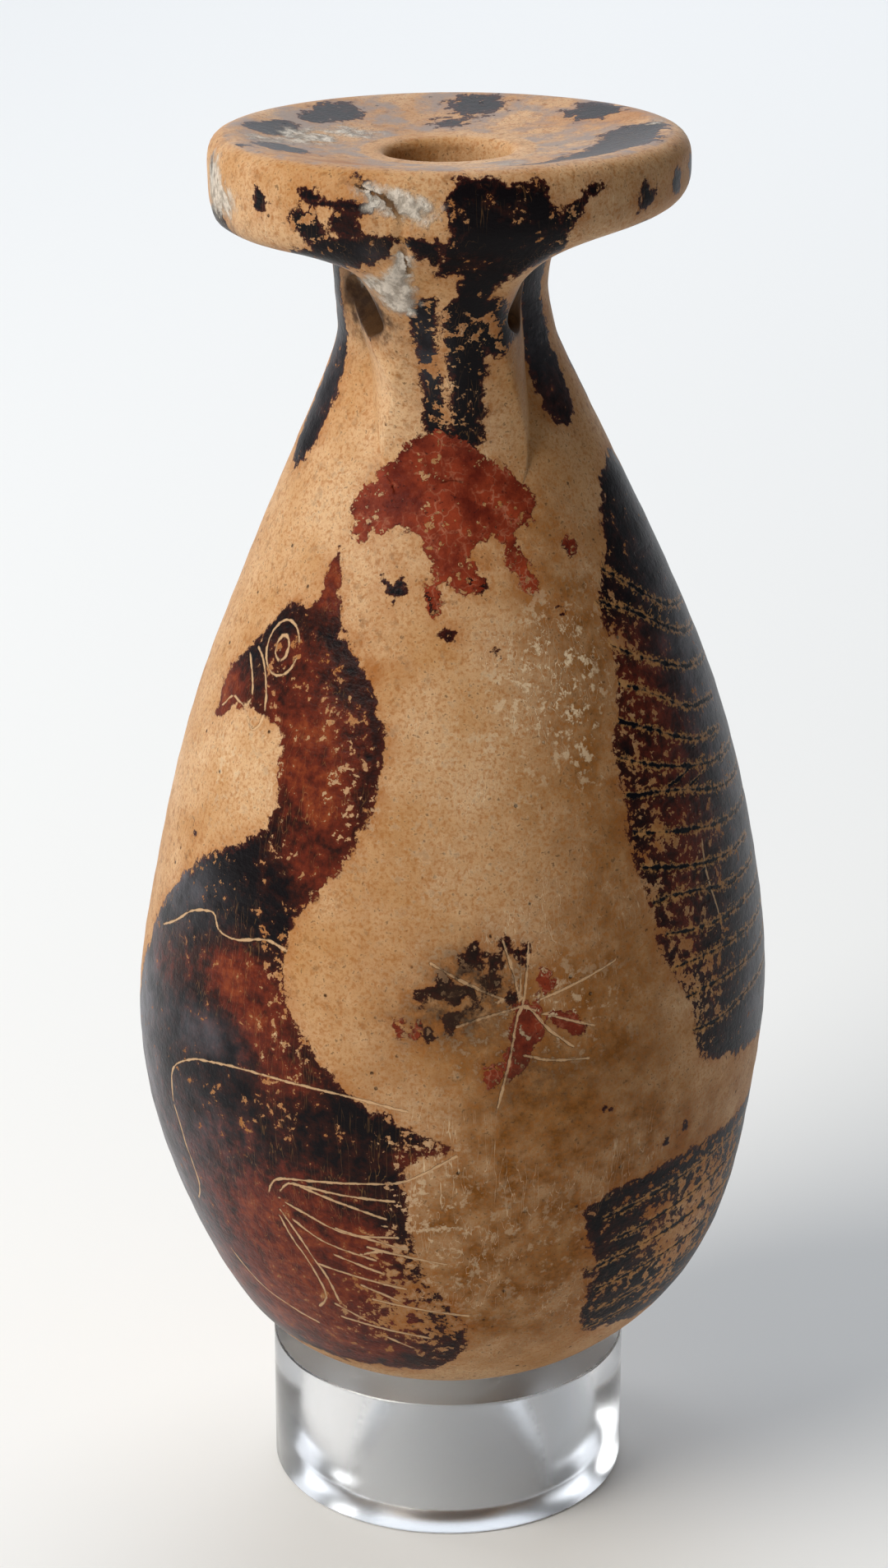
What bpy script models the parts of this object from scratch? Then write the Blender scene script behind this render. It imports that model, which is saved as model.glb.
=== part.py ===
"""A small Corinthian oil flask standing in a clear ring.

The flask is one piece of fired clay: a pear-shaped body, a short narrow neck, a broad disc rim
and a pierced lug that joins the front of the rim to the shoulder. It was thrown by hand, so its
neck stands a little to one side and its disc tips a little. Its round bottom can't stand alone,
so it sits in the shallow seat of a short piece of thick clear acrylic ring.

Metres, +Z up. The origin is at the centre of the ring's underside. The lug faces -Y.
"""

import math

import bmesh
import bpy
import numpy as np

# The ring stand.
RING_RADIUS = 0.0127
RING_BORE_RADIUS = 0.0068
RING_HEIGHT = 0.0105
RING_LAND_WIDTH = 0.0019
RING_SEAT_DROP = 0.0004
RING_EDGE_BREAK = 0.0003
REST_GAP = 0.0003

# The flask's outer form, with heights measured up from its bottom.
FLASK_HEIGHT = 0.0888
BODY_RADIUS = 0.0221
BELLY_HEIGHT = 0.0270
NECK_RADIUS = 0.00712
NECK_WAIST_HEIGHT = 0.0772
RIM_RADIUS = 0.01597
RIM_THICKNESS = 0.0051
RIM_ROUNDING = 0.0019
RIM_ROOT_RADIUS = 0.0090

# The hollow inside it.
WALL = 0.0026
FLOOR = 0.0042
MOUTH_RADIUS = 0.0041
MOUTH_ROUNDING = 0.0007
RIM_DISH_DEPTH = 0.0013

# The lug under the front of the rim, and the cord hole from side to side through it.
LUG_WIDTH = 0.0098
LUG_TOP_WIDTH = 0.0168
LUG_FOOT_WIDTH = 0.0120
LUG_REACH = 0.0120
LUG_TOP_REACH = 0.0151
LUG_FOOT_REACH = 0.0093
LUG_LENGTH = 0.0180
LUG_HOLE_RADIUS = 0.0015
LUG_HOLE_REACH = 0.0094
LUG_HOLE_BELOW_RIM = 0.0044

# What the potter's hand left: how the disc's top and its underside tip down to the left and to
# the back, and how far the middle wanders sideways as it rises, as (share of the height, share of
# the body's radius).
RIM_TOP_TIP_DEGREES = 0.4
RIM_UNDER_TIP_DEGREES = 3.0
RIM_TOP_BACK_TIP_DEGREES = 3.1
RIM_UNDER_BACK_TIP_DEGREES = 1.6
AXIS_WANDER = (
    (0.00, 0.000), (0.02, 0.000), (0.08, 0.024), (0.24, 0.007), (0.42, 0.028), (0.62, 0.026),
    (0.76, 0.012), (0.81, 0.005), (0.85, -0.006), (0.88, -0.021), (0.95, 0.000), (1.00, 0.000),
)

# How the curves of the body are drawn, as exponents and shares of the sizes above.
LOWER_BODY_FULLNESS = 3.4
LOWER_BODY_RISE = 1.7
SHOULDER_SHARES = (
    (0.0, 1.0), (0.22, 0.912), (0.46, 0.712), (0.65, 0.462),
    (0.80, 0.238), (0.90, 0.090), (0.955, 0.018), (1.0, 0.0),
)
RIM_EDGE_SQUARENESS = 3.0
LUG_SQUARENESS = 2.1

# The neck's flare under the disc, as (share of the way out from the neck to the rim's root, share
# of the drop from the disc's underside to the neck's waist), and the rings over the dished top, as
# shares of the way in from its crest to the lip.
NECK_FLARE_SHARES = ((0.3, 0.35), (1.0, 0.08))
RIM_DISH_SHARES = (0.25, 0.55, 1.0)

# The lug's levels, from 0 at its foot to 1 at its top: where it has its plain width and reach, and
# where it flares out to the disc. The easings give the level of the station below the middle, and
# how far the stations below and above it have gone towards the next size.
LUG_MIDDLE_LEVEL = 0.68
LUG_FLARE_LEVEL = 0.82
LUG_WIDTH_EASING = (0.45, 0.50, 0.25)
LUG_REACH_EASING = (0.35, 0.55, 0.50)
CUTTER_OVERRUN = 0.0040

# How finely the round forms are cut.
FLASK_STEPS = 60
RING_STEPS = 72
LOWER_BODY_RINGS = 14
SHOULDER_RINGS = 14
RIM_EDGE_RINGS = 8
INNER_RINGS = 18
LUG_SIDE_STEPS = 14
LUG_RINGS = 12
HOLE_STEPS = 20
SEAT_SAMPLES = 60
MERGE_DISTANCE = 0.000001
SMOOTH_BELOW_DEGREES = 35.0

CLAY_COLOUR = (0.56, 0.35, 0.16, 1.0)
CLAY_ROUGHNESS = 0.55
ACRYLIC_COLOUR = (0.90, 0.92, 0.92, 1.0)
ACRYLIC_ROUGHNESS = 0.1


def clear_scene():
    """Start from an empty scene."""
    for old in list(bpy.data.objects):
        bpy.data.objects.remove(old, do_unlink=True)


def smooth_step(value, low, high):
    """Rise smoothly from 0 at low to 1 at high."""
    share = np.clip((value - low) / (high - low), 0.0, 1.0)
    return share * share * (3.0 - 2.0 * share)


def smooth_through(stations, count, level_start=False):
    """Return count points evenly along a smooth curve through (along, size) stations.

    A curve with a level start has no slope at its first station, so it runs on smoothly from
    its own mirror image there.
    """
    points = np.array(stations, dtype=float)
    before = 2.0 * points[0] - points[1]
    if level_start:
        before[1] = points[1][1]
    after = 2.0 * points[-1] - points[-2]
    padded = np.vstack([before, points, after])
    result = []
    for position in np.linspace(0.0, len(points) - 1.0, count):
        span = min(int(position), len(points) - 2)
        t = position - span
        p0, p1, p2, p3 = padded[span:span + 4]
        curve = 2.0 * p1 + (p2 - p0) * t
        curve = curve + (2.0 * p0 - 5.0 * p1 + 4.0 * p2 - p3) * t ** 2
        curve = curve + (3.0 * p1 - p0 - 3.0 * p2 + p3) * t ** 3
        result.append(curve / 2.0)
    return np.array(result)


def lower_body():
    """Outer profile from the middle of the bottom up to just under the belly."""
    points = []
    for turn in np.linspace(0.0, math.pi / 2.0, LOWER_BODY_RINGS):
        across = math.sin(turn)
        fall = (1.0 - across ** LOWER_BODY_FULLNESS) ** (1.0 / LOWER_BODY_RISE)
        points.append((BODY_RADIUS * across, BELLY_HEIGHT * (1.0 - fall)))
    return points


def shoulder_and_neck():
    """Outer profile from above the belly to the waist of the neck."""
    rise = NECK_WAIST_HEIGHT - BELLY_HEIGHT
    points = []
    for along, share in smooth_through(SHOULDER_SHARES, SHOULDER_RINGS, level_start=True)[1:]:
        radius = NECK_RADIUS + (BODY_RADIUS - NECK_RADIUS) * share
        points.append((radius, BELLY_HEIGHT + rise * along))
    return points


def rim_underside():
    """Outer profile where the neck flares out into the underside of the disc."""
    low = FLASK_HEIGHT - RIM_THICKNESS
    points = []
    for out_share, drop_share in NECK_FLARE_SHARES:
        radius = NECK_RADIUS + (RIM_ROOT_RADIUS - NECK_RADIUS) * out_share
        points.append((radius, low - (low - NECK_WAIST_HEIGHT) * drop_share))
    points.append(((RIM_ROOT_RADIUS + RIM_RADIUS - RIM_ROUNDING) / 2.0, low))
    return points


def rim_edge():
    """Outer profile round the disc's edge, from its underside to its top."""
    middle = FLASK_HEIGHT - RIM_THICKNESS / 2.0
    points = []
    for turn in np.linspace(-math.pi / 2.0, math.pi / 2.0, RIM_EDGE_RINGS):
        out = abs(math.cos(turn)) ** (2.0 / RIM_EDGE_SQUARENESS)
        up = math.copysign(abs(math.sin(turn)) ** (2.0 / RIM_EDGE_SQUARENESS), turn)
        radius = RIM_RADIUS - RIM_ROUNDING + RIM_ROUNDING * out
        points.append((radius, middle + RIM_THICKNESS / 2.0 * up))
    return points


def rim_top_and_mouth():
    """Profile over the dished top of the disc and round the lip of the mouth."""
    crest = RIM_RADIUS - RIM_ROUNDING
    lip = MOUTH_RADIUS + MOUTH_ROUNDING
    points = []
    for share in RIM_DISH_SHARES:
        radius = crest + (lip - crest) * share
        drop = RIM_DISH_DEPTH * math.sin(share * math.pi / 2.0)
        points.append((radius, FLASK_HEIGHT - drop))
    points.append((MOUTH_RADIUS, FLASK_HEIGHT - RIM_DISH_DEPTH - MOUTH_ROUNDING))
    return points


def inner_wall(outer):
    """Profile of the hollow, from the bottom of the mouth's bore down to the inside floor."""
    outer = np.array(outer)
    run = np.gradient(outer, axis=0)
    length = np.hypot(run[:, 0], run[:, 1])
    inward = np.stack([-run[:, 1], run[:, 0]], axis=1) / length[:, None]
    rise = np.clip(outer[:, 1] / BELLY_HEIGHT, 0.0, 1.0)
    thickness = FLOOR + (WALL - FLOOR) * rise
    inner = outer + inward * thickness[:, None]
    inner[0, 0] = 0.0
    inside = [point for point in inner if point[0] < MOUTH_RADIUS and point[1] < BELLY_HEIGHT]
    inside += [point for point in inner if point[0] >= MOUTH_RADIUS]
    inside = np.array(inside)
    bore_foot = (MOUTH_RADIUS, inside[-1][1] + WALL)
    travelled = np.concatenate([[0.0], np.cumsum(np.hypot(*np.diff(inside, axis=0).T))])
    even = np.linspace(0.0, travelled[-1], INNER_RINGS)
    radii = np.interp(even, travelled, inside[:, 0])
    heights = np.interp(even, travelled, inside[:, 1])
    return [bore_foot] + list(zip(radii, heights))[::-1]


def ring_seat_height(radius):
    """Height of the ring's top at a radius: a flat land, then a shallow seat down to the bore."""
    seat_edge = RING_RADIUS - RING_LAND_WIDTH
    inwards = max(0.0, (seat_edge - radius) / (seat_edge - RING_BORE_RADIUS))
    return RING_HEIGHT - RING_SEAT_DROP * inwards


def flask_bottom_height(outer):
    """Height of the flask's bottom where it comes to rest in the ring, less the gap."""
    radii = np.linspace(RING_BORE_RADIUS, RING_RADIUS, SEAT_SAMPLES)
    heights = np.interp(radii, [point[0] for point in outer], [point[1] for point in outer])
    lift = max(ring_seat_height(radius) - height for radius, height in zip(radii, heights))
    return lift + REST_GAP


def turn_profile(name, points, steps, closed):
    """Spin an outline of (radius, height) points about Z into one closed solid."""
    work = bmesh.new()
    verts = [work.verts.new((radius, 0.0, height)) for radius, height in points]
    pairs = list(zip(verts, verts[1:]))
    if closed:
        pairs.append((verts[-1], verts[0]))
    edges = [work.edges.new(pair) for pair in pairs]
    bmesh.ops.spin(
        work, geom=verts + edges, cent=(0.0, 0.0, 0.0), axis=(0.0, 0.0, 1.0),
        angle=2.0 * math.pi, steps=steps, use_merge=True,
    )
    bmesh.ops.remove_doubles(work, verts=work.verts, dist=MERGE_DISTANCE)
    bmesh.ops.recalc_face_normals(work, faces=work.faces)
    return add_object(name, work)


def add_object(name, work):
    """Turn a bmesh into a smooth-shaded object in the scene."""
    mesh = bpy.data.meshes.new(name)
    work.to_mesh(mesh)
    work.free()
    mesh.shade_smooth()
    mesh.set_sharp_from_angle(angle=math.radians(SMOOTH_BELOW_DEGREES))
    piece = bpy.data.objects.new(name, mesh)
    bpy.context.scene.collection.objects.link(piece)
    return piece


def shape_by_hand(piece, bottom):
    """Move the turned form off its axis and tip its disc, as the potter's hand did."""
    levels = [level for level, shift in AXIS_WANDER]
    shifts = [shift for level, shift in AXIS_WANDER]
    rim_low = FLASK_HEIGHT - RIM_THICKNESS
    for vertex in piece.data.vertices:
        height = vertex.co.z - bottom
        sideways = np.interp(height / FLASK_HEIGHT, levels, shifts) * BODY_RADIUS
        rim_share = smooth_step(height, rim_low, FLASK_HEIGHT)
        side_tip = RIM_UNDER_TIP_DEGREES * (1.0 - rim_share) + RIM_TOP_TIP_DEGREES * rim_share
        back_tip = RIM_UNDER_BACK_TIP_DEGREES * (1.0 - rim_share)
        back_tip += RIM_TOP_BACK_TIP_DEGREES * rim_share
        tipping = smooth_step(height, NECK_WAIST_HEIGHT, rim_low)
        vertex.co.z += vertex.co.x * math.tan(math.radians(side_tip)) * tipping
        vertex.co.z -= vertex.co.y * math.tan(math.radians(back_tip)) * tipping
        vertex.co.x += sideways


def lug_stations(foot, middle, top, easing):
    """Levels and sizes up the lug, from its foot through its middle to where it meets the disc."""
    low_level, low_share, high_share = easing
    stations = [
        (0.0, foot),
        (low_level, foot + (middle - foot) * low_share),
        (LUG_MIDDLE_LEVEL, middle),
        (LUG_FLARE_LEVEL, middle + (top - middle) * high_share),
        (1.0, top),
    ]
    return smooth_through(stations, LUG_RINGS)


def lug_form():
    """Loft the solid lug from the shoulder up into the underside of the disc."""
    top = FLASK_HEIGHT - RIM_THICKNESS + RIM_ROUNDING
    root = NECK_RADIUS - WALL / 2.0
    widths = lug_stations(LUG_FOOT_WIDTH, LUG_WIDTH, LUG_TOP_WIDTH, LUG_WIDTH_EASING)
    reaches = lug_stations(LUG_FOOT_REACH, LUG_REACH, LUG_TOP_REACH, LUG_REACH_EASING)
    work = bmesh.new()
    loops = []
    for (level, width), (_, reach) in zip(widths, reaches):
        half_width = width / 2.0
        height = top - LUG_LENGTH * (1.0 - level)
        section = []
        for turn in np.linspace(0.0, math.pi, LUG_SIDE_STEPS):
            aside = abs(math.cos(turn)) ** (2.0 / LUG_SQUARENESS)
            out = abs(math.sin(turn)) ** (2.0 / LUG_SQUARENESS)
            x = math.copysign(half_width * aside, math.cos(turn))
            section.append(work.verts.new((x, -(root + (reach - root) * out), height)))
        loops.append([work.edges.new(pair) for pair in zip(section, section[1:] + section[:1])])
    for lower, upper in zip(loops, loops[1:]):
        bmesh.ops.bridge_loops(work, edges=lower + upper)
    bmesh.ops.holes_fill(work, edges=loops[0] + loops[-1], sides=0)
    bmesh.ops.recalc_face_normals(work, faces=work.faces)
    return add_object("lug form", work)


def hole_cutter(bottom):
    """A rod from side to side through the lug."""
    work = bmesh.new()
    bmesh.ops.create_cone(
        work, cap_ends=True, segments=HOLE_STEPS, radius1=LUG_HOLE_RADIUS,
        radius2=LUG_HOLE_RADIUS, depth=LUG_TOP_WIDTH + 2.0 * CUTTER_OVERRUN,
    )
    piece = add_object("lug hole cutter", work)
    piece.rotation_euler = (0.0, math.pi / 2.0, 0.0)
    below_rim = FLASK_HEIGHT - RIM_THICKNESS - LUG_HOLE_BELOW_RIM
    piece.location = (0.0, -LUG_HOLE_REACH, bottom + below_rim)
    return piece


def hide_helper(piece):
    """Keep a shape that only adds to or cuts another out of the finished object."""
    piece.hide_render = True
    piece.display_type = 'WIRE'


def combine(piece, helper, operation):
    """Add a Boolean that joins or cuts the piece with a helper shape."""
    modifier = piece.modifiers.new(helper.name, 'BOOLEAN')
    modifier.operation = operation
    modifier.object = helper
    modifier.solver = 'EXACT'
    hide_helper(helper)


def plain_material(name, colour, roughness):
    """A Principled material with the piece's own colour and gloss."""
    material = bpy.data.materials.new(name)
    material.use_nodes = True
    shader = material.node_tree.nodes["Principled BSDF"]
    shader.inputs["Base Color"].default_value = colour
    shader.inputs["Roughness"].default_value = roughness
    shader.inputs["Metallic"].default_value = 0.0
    return material


def make_flask():
    """The hollow clay flask with its disc rim and pierced lug."""
    outer = lower_body() + shoulder_and_neck()
    bottom = flask_bottom_height(lower_body())
    profile = outer + rim_underside() + rim_edge() + rim_top_and_mouth() + inner_wall(outer)
    raised = [(radius, height + bottom) for radius, height in profile]
    flask = turn_profile("flask", raised, FLASK_STEPS, closed=False)
    shape_by_hand(flask, bottom)
    lug = lug_form()
    lug.location.z = bottom
    combine(flask, lug, 'UNION')
    combine(flask, hole_cutter(bottom), 'DIFFERENCE')
    flask.data.materials.append(plain_material("fired buff clay", CLAY_COLOUR, CLAY_ROUGHNESS))
    return flask


def make_ring_stand():
    """The thick clear ring with a flat land and a shallow seat on top."""
    edge = RING_EDGE_BREAK
    profile = [
        (RING_RADIUS - edge, 0.0),
        (RING_RADIUS, edge),
        (RING_RADIUS, RING_HEIGHT - edge),
        (RING_RADIUS - edge, RING_HEIGHT),
        (RING_RADIUS - RING_LAND_WIDTH, RING_HEIGHT),
        (RING_BORE_RADIUS, RING_HEIGHT - RING_SEAT_DROP),
        (RING_BORE_RADIUS, edge),
        (RING_BORE_RADIUS + edge, 0.0),
    ]
    ring = turn_profile("ring_stand", profile, RING_STEPS, closed=True)
    ring.data.materials.append(plain_material("clear acrylic", ACRYLIC_COLOUR, ACRYLIC_ROUGHNESS))
    return ring


clear_scene()
make_ring_stand()
make_flask()
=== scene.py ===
# %% [markdown]
# # A painted clay oil flask in a clear ring
#
# This notebook dresses a small Corinthian oil flask: a pear-shaped body about 89 mm tall with a
# broad disc rim, a pierced lug under the front of the rim, dark slip, dull red paint and incised
# lines, all badly worn. Its round bottom sits in a short clear acrylic ring. The solids of both
# come from a fixed frame. The flask gets a much finer mesh here, because its lug, its smeared
# clay and the flaked edges of its paint need small faces, and the ring gets smooth sides.

import math

import bmesh
import bpy
import numpy as np
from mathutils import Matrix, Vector


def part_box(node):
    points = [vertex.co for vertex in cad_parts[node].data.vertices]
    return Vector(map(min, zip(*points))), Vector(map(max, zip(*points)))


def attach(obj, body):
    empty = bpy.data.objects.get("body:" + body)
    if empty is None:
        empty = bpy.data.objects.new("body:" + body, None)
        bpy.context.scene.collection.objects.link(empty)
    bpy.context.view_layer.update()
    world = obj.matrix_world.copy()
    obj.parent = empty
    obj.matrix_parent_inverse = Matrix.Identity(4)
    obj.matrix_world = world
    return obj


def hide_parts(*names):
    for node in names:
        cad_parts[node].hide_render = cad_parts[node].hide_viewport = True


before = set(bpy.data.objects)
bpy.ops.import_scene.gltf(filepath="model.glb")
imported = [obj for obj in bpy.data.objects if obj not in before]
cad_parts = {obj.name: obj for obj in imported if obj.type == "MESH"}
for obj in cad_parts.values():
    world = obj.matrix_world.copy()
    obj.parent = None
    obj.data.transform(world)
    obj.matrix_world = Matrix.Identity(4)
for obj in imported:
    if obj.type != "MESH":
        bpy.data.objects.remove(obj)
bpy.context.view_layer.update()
flask_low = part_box("flask")[0]
ring_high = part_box("ring_stand")[1]
MM = 0.001

# %% [markdown]
# ## Camera
#
# The flask was photographed from a little above with a long lens, so its sides hardly converge.
# Working back from the outline gives a camera 276 mm in front of the axis, 163 mm up and tipped
# 21.7 degrees down. The long side of the picture is 1908 pixels, which the lens length below
# turns into the right field of view on a 36 mm sensor.

# %% Camera
CAMERA_PLACE = Vector((-0.295, -276.33, 162.69)) * MM
CAMERA_TIP_DEGREES = 21.72
PICTURE_HEIGHT_PX = 1908
FOCAL_PX = 5200.0
SENSOR_MM = 36.0

lens = bpy.data.cameras.new("camera")
lens.sensor_fit = 'VERTICAL'
lens.sensor_height = SENSOR_MM
lens.lens = FOCAL_PX * SENSOR_MM / PICTURE_HEIGHT_PX
lens.clip_start = 0.01
camera = bpy.data.objects.new("camera", lens)
camera.location = CAMERA_PLACE
camera.rotation_euler = (math.radians(90.0 - CAMERA_TIP_DEGREES), 0.0, 0.0)
bpy.context.scene.collection.objects.link(camera)
bpy.context.scene.camera = camera
print("lens:", round(lens.lens, 2), "mm")

# %% [markdown]
# ## Small helpers
#
# Two curves do most of the shaping: a soft step, and a smooth curve through a few stations. Both
# work on whole arrays of points at once, so that a mesh of a hundred thousand points can be
# shaped in a moment. Every colour is written as an sRGB hex value and turned to linear light by
# one function, and one function adds a node with its settings and links.

# %% Helpers for shapes
def soft_step(value, low, high):
    """Rise smoothly from 0 at low to 1 at high."""
    share = np.clip((value - low) / (high - low), 0.0, 1.0)
    return share * share * (3.0 - 2.0 * share)


def through(at, stations, level_start=False):
    """Values at the given places on a smooth curve through (place, value) stations."""
    places, values = np.array(stations, dtype=float).T
    slopes = np.gradient(values, places)
    if level_start:
        slopes[0] = 0.0
    at = np.clip(at, places[0], places[-1])
    span = np.clip(np.searchsorted(places, at) - 1, 0, len(places) - 2)
    width = places[span + 1] - places[span]
    t = (at - places[span]) / width
    left = (1.0 + 2.0 * t) * (1.0 - t) ** 2 * values[span] + t * (1.0 - t) ** 2 * slopes[span] * width
    right = t ** 2 * (3.0 - 2.0 * t) * values[span + 1] + t ** 2 * (t - 1.0) * slopes[span + 1] * width
    return left + right


def travelled(points):
    """Distance run along a line of points, from its start to each of them."""
    steps = np.hypot(*np.diff(np.array(points), axis=0).T)
    return np.concatenate([[0.0], np.cumsum(steps)])


# %% Helpers for colours and nodes
def colour(code):
    """Linear RGBA from an sRGB hex code such as '#c8a06c'."""
    parts = [int(code[place:place + 2], 16) / 255.0 for place in (1, 3, 5)]
    linear = [part / 12.92 if part <= 0.04045 else ((part + 0.055) / 1.055) ** 2.4 for part in parts]
    return (*linear, 1.0)


# The kinds of node that are used most, by short names.
MATH, RANGE = "ShaderNodeMath", "ShaderNodeMapRange"
MIX, NOISE = "ShaderNodeMix", "ShaderNodeTexNoise"


def add_node(tree, kind, inputs=None, **settings):
    """Add a node with its settings; an input is either a number, a colour or another socket."""
    made = tree.nodes.new(kind)
    for name, value in settings.items():
        setattr(made, name, value)
    for socket, value in (inputs or {}).items():
        if isinstance(value, bpy.types.NodeSocket):
            tree.links.new(value, made.inputs[socket])
        else:
            made.inputs[socket].default_value = value
    return made


def grain(size_mm):
    """Texture scale on Object coordinates, in metres, for a pattern of this size."""
    return 1.0 / (size_mm * MM)


# %% [markdown]
# ## Floor and light
#
# The flask stands on a white sheet that runs back out of sight, under soft studio light. One
# large softbox at the front left does nearly all the work: it gives the bright left flank, the
# quick fall into shade to the right of the middle, and the soft shadow behind to the right. A
# light on the sheet behind and a pale back wall keep the background white and show in the clear
# ring, a weak strip draws a line down the left edge, and the shaded side gets only what the
# sheet and the pale surround throw back.

# %% Floor
FLOOR_HALF = 1.2
FLOOR_WHITE = '#edeeed'
PAPER_ROUGHNESS, PAPER_SPECULAR = 0.75, 0.25
# A hair's breadth between the ring and the sheet, as on real paper, so that the underside of the
# clear ring mirrors the light instead of touching the sheet everywhere.
PAPER_GAP_MM = 0.04

sheet = bmesh.new()
bmesh.ops.create_grid(sheet, x_segments=1, y_segments=1, size=FLOOR_HALF)
floor_mesh = bpy.data.meshes.new("floor")
sheet.to_mesh(floor_mesh)
sheet.free()
floor = bpy.data.objects.new("floor", floor_mesh)
floor.location.z = -PAPER_GAP_MM * MM
bpy.context.scene.collection.objects.link(floor)
paper = bpy.data.materials.new("matt white backdrop paper")
paper.use_nodes = True
paper_shader = paper.node_tree.nodes["Principled BSDF"]
paper_shader.inputs["Base Color"].default_value = colour(FLOOR_WHITE)
paper_shader.inputs["Roughness"].default_value = PAPER_ROUGHNESS
paper_shader.inputs["Specular IOR Level"].default_value = PAPER_SPECULAR
floor_mesh.materials.append(paper)

# %% Lights
LIGHTS = (
    # name, place in mm, aimed at in mm, size in mm, watts, colour
    ("front left softbox", (-366.0, -255.0, 450.0), (0.0, 0.0, 50.0), 400.0, 3.3, '#fffaf3'),
    ("backdrop light", (60.0, 450.0, 560.0), (50.0, 380.0, 0.0), 600.0, 2.1, '#f4f8ff'),
    ("back wall", (0.0, 780.0, 260.0), (0.0, 0.0, 120.0), 900.0, 2.0, '#f4f8ff'),
    ("left edge strip", (-430.0, 190.0, 260.0), (0.0, 0.0, 60.0), 240.0, 0.5, '#ffffff'),
)

for name, place, aim, size, watts, tint in LIGHTS:
    lamp = bpy.data.lights.new(name, 'AREA')
    lamp.shape = 'DISK'
    lamp.size = size * MM
    lamp.energy = watts
    lamp.color = colour(tint)[:3]
    light = bpy.data.objects.new(name, lamp)
    light.location = Vector(place) * MM
    light.rotation_euler = (Vector(aim) * MM - light.location).to_track_quat('-Z', 'Y').to_euler()
    bpy.context.scene.collection.objects.link(light)

WORLD_TINT, WORLD_STRENGTH = '#f3f7fa', 0.14
studio = bpy.data.worlds.new("studio")
studio.use_nodes = True
backdrop = studio.node_tree.nodes["Background"]
backdrop.inputs["Color"].default_value = colour(WORLD_TINT)
backdrop.inputs["Strength"].default_value = WORLD_STRENGTH
bpy.context.scene.world = studio
bpy.context.scene.view_settings.view_transform = 'Standard'
print(len(LIGHTS), "lights and a pale surround")

# %% [markdown]
# ## The flask's outline
#
# The potter threw the flask on a wheel, so its body, neck and disc are one turned form. Half of
# its section is drawn once, from the middle of the bottom up the outside, over the disc and down
# the inside of the hollow, and then spun round. The sizes are the ones the solid was made from,
# in millimetres, with heights measured up from the flask's own bottom.

# %% Sizes of the turned form
BOTTOM = flask_low.z / MM
HEIGHT = 88.8
BODY_RADIUS = 22.1
BELLY_HEIGHT = 27.0
NECK_RADIUS = 7.12
WAIST_HEIGHT = 77.2
RIM_RADIUS = 15.97
RIM_THICKNESS = 5.1
RIM_ROUNDING = 1.9
RIM_ROOT_RADIUS = 10.3
RIM_LOW = HEIGHT - RIM_THICKNESS
MOUTH_RADIUS = 4.1
LIP_ROUNDING = 0.7
DISH_DEPTH = 1.3
WALL = 2.6
FLOOR_THICKNESS = 4.2
BODY_FULLNESS = 3.4
BODY_RISE = 1.7
EDGE_SQUARENESS = 3.0
# Points along each half of the body's outline, before it is cut into even steps.
BODY_POINTS = 240
SHOULDER = (
    (0.0, 1.0), (0.22, 0.912), (0.46, 0.712), (0.65, 0.462),
    (0.80, 0.238), (0.90, 0.090), (0.955, 0.018), (1.0, 0.0),
)


def body_outline():
    """From the middle of the bottom up over the belly to the waist of the neck."""
    points = []
    for turn in np.linspace(0.0, math.pi / 2.0, BODY_POINTS):
        across = math.sin(turn)
        fall = (1.0 - across ** BODY_FULLNESS) ** (1.0 / BODY_RISE)
        points.append((BODY_RADIUS * across, BELLY_HEIGHT * (1.0 - fall)))
    for along in np.linspace(0.0, 1.0, BODY_POINTS)[1:]:
        share = through(along, SHOULDER, level_start=True)
        radius = NECK_RADIUS + (BODY_RADIUS - NECK_RADIUS) * share
        points.append((radius, BELLY_HEIGHT + (WAIST_HEIGHT - BELLY_HEIGHT) * along))
    return points


def disc_outline():
    """From the waist of the neck out under the disc, round its edge and in to the mouth."""
    crest = RIM_RADIUS - RIM_ROUNDING
    points = []
    for turn in np.linspace(0.0, math.pi / 2.0, 60)[1:]:
        out = (1.0 - math.cos(turn)) ** 1.25
        up = math.sin(turn) ** 0.9
        radius = NECK_RADIUS + (RIM_ROOT_RADIUS - NECK_RADIUS) * out
        points.append((radius, WAIST_HEIGHT + (RIM_LOW - WAIST_HEIGHT) * up))
    points.append((crest, RIM_LOW))
    for turn in np.linspace(-math.pi / 2.0, math.pi / 2.0, 120)[1:]:
        out = math.cos(turn) ** (2.0 / EDGE_SQUARENESS) if abs(turn) < 1.57 else 0.0
        up = math.copysign(abs(math.sin(turn)) ** (2.0 / EDGE_SQUARENESS), turn)
        points.append((crest + RIM_ROUNDING * out, RIM_LOW + RIM_THICKNESS * (1.0 + up) / 2.0))
    lip = MOUTH_RADIUS + LIP_ROUNDING
    for share in np.linspace(0.0, 1.0, 40)[1:]:
        drop = DISH_DEPTH * math.sin(share * math.pi / 2.0)
        points.append((crest + (lip - crest) * share, HEIGHT - drop))
    for turn in np.linspace(0.0, math.pi / 2.0, 8)[1:]:
        drop = DISH_DEPTH + LIP_ROUNDING * (1.0 - math.cos(turn))
        points.append((lip - LIP_ROUNDING * math.sin(turn), HEIGHT - drop))
    return points


def hollow_outline(outer):
    """From the mouth's bore down the inside to the middle of the hollow's floor."""
    outer = np.array(outer)
    run = np.gradient(outer, axis=0)
    inward = np.stack([-run[:, 1], run[:, 0]], axis=1) / np.hypot(*run.T)[:, None]
    rise = np.clip(outer[:, 1] / BELLY_HEIGHT, 0.0, 1.0)
    inner = outer + inward * (FLOOR_THICKNESS + (WALL - FLOOR_THICKNESS) * rise)[:, None]
    inner[0, 0] = 0.0
    below = [point for point in inner if point[1] < BELLY_HEIGHT or point[0] >= MOUTH_RADIUS]
    return [(MOUTH_RADIUS, below[-1][1] + WALL)] + below[::-1]


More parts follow.
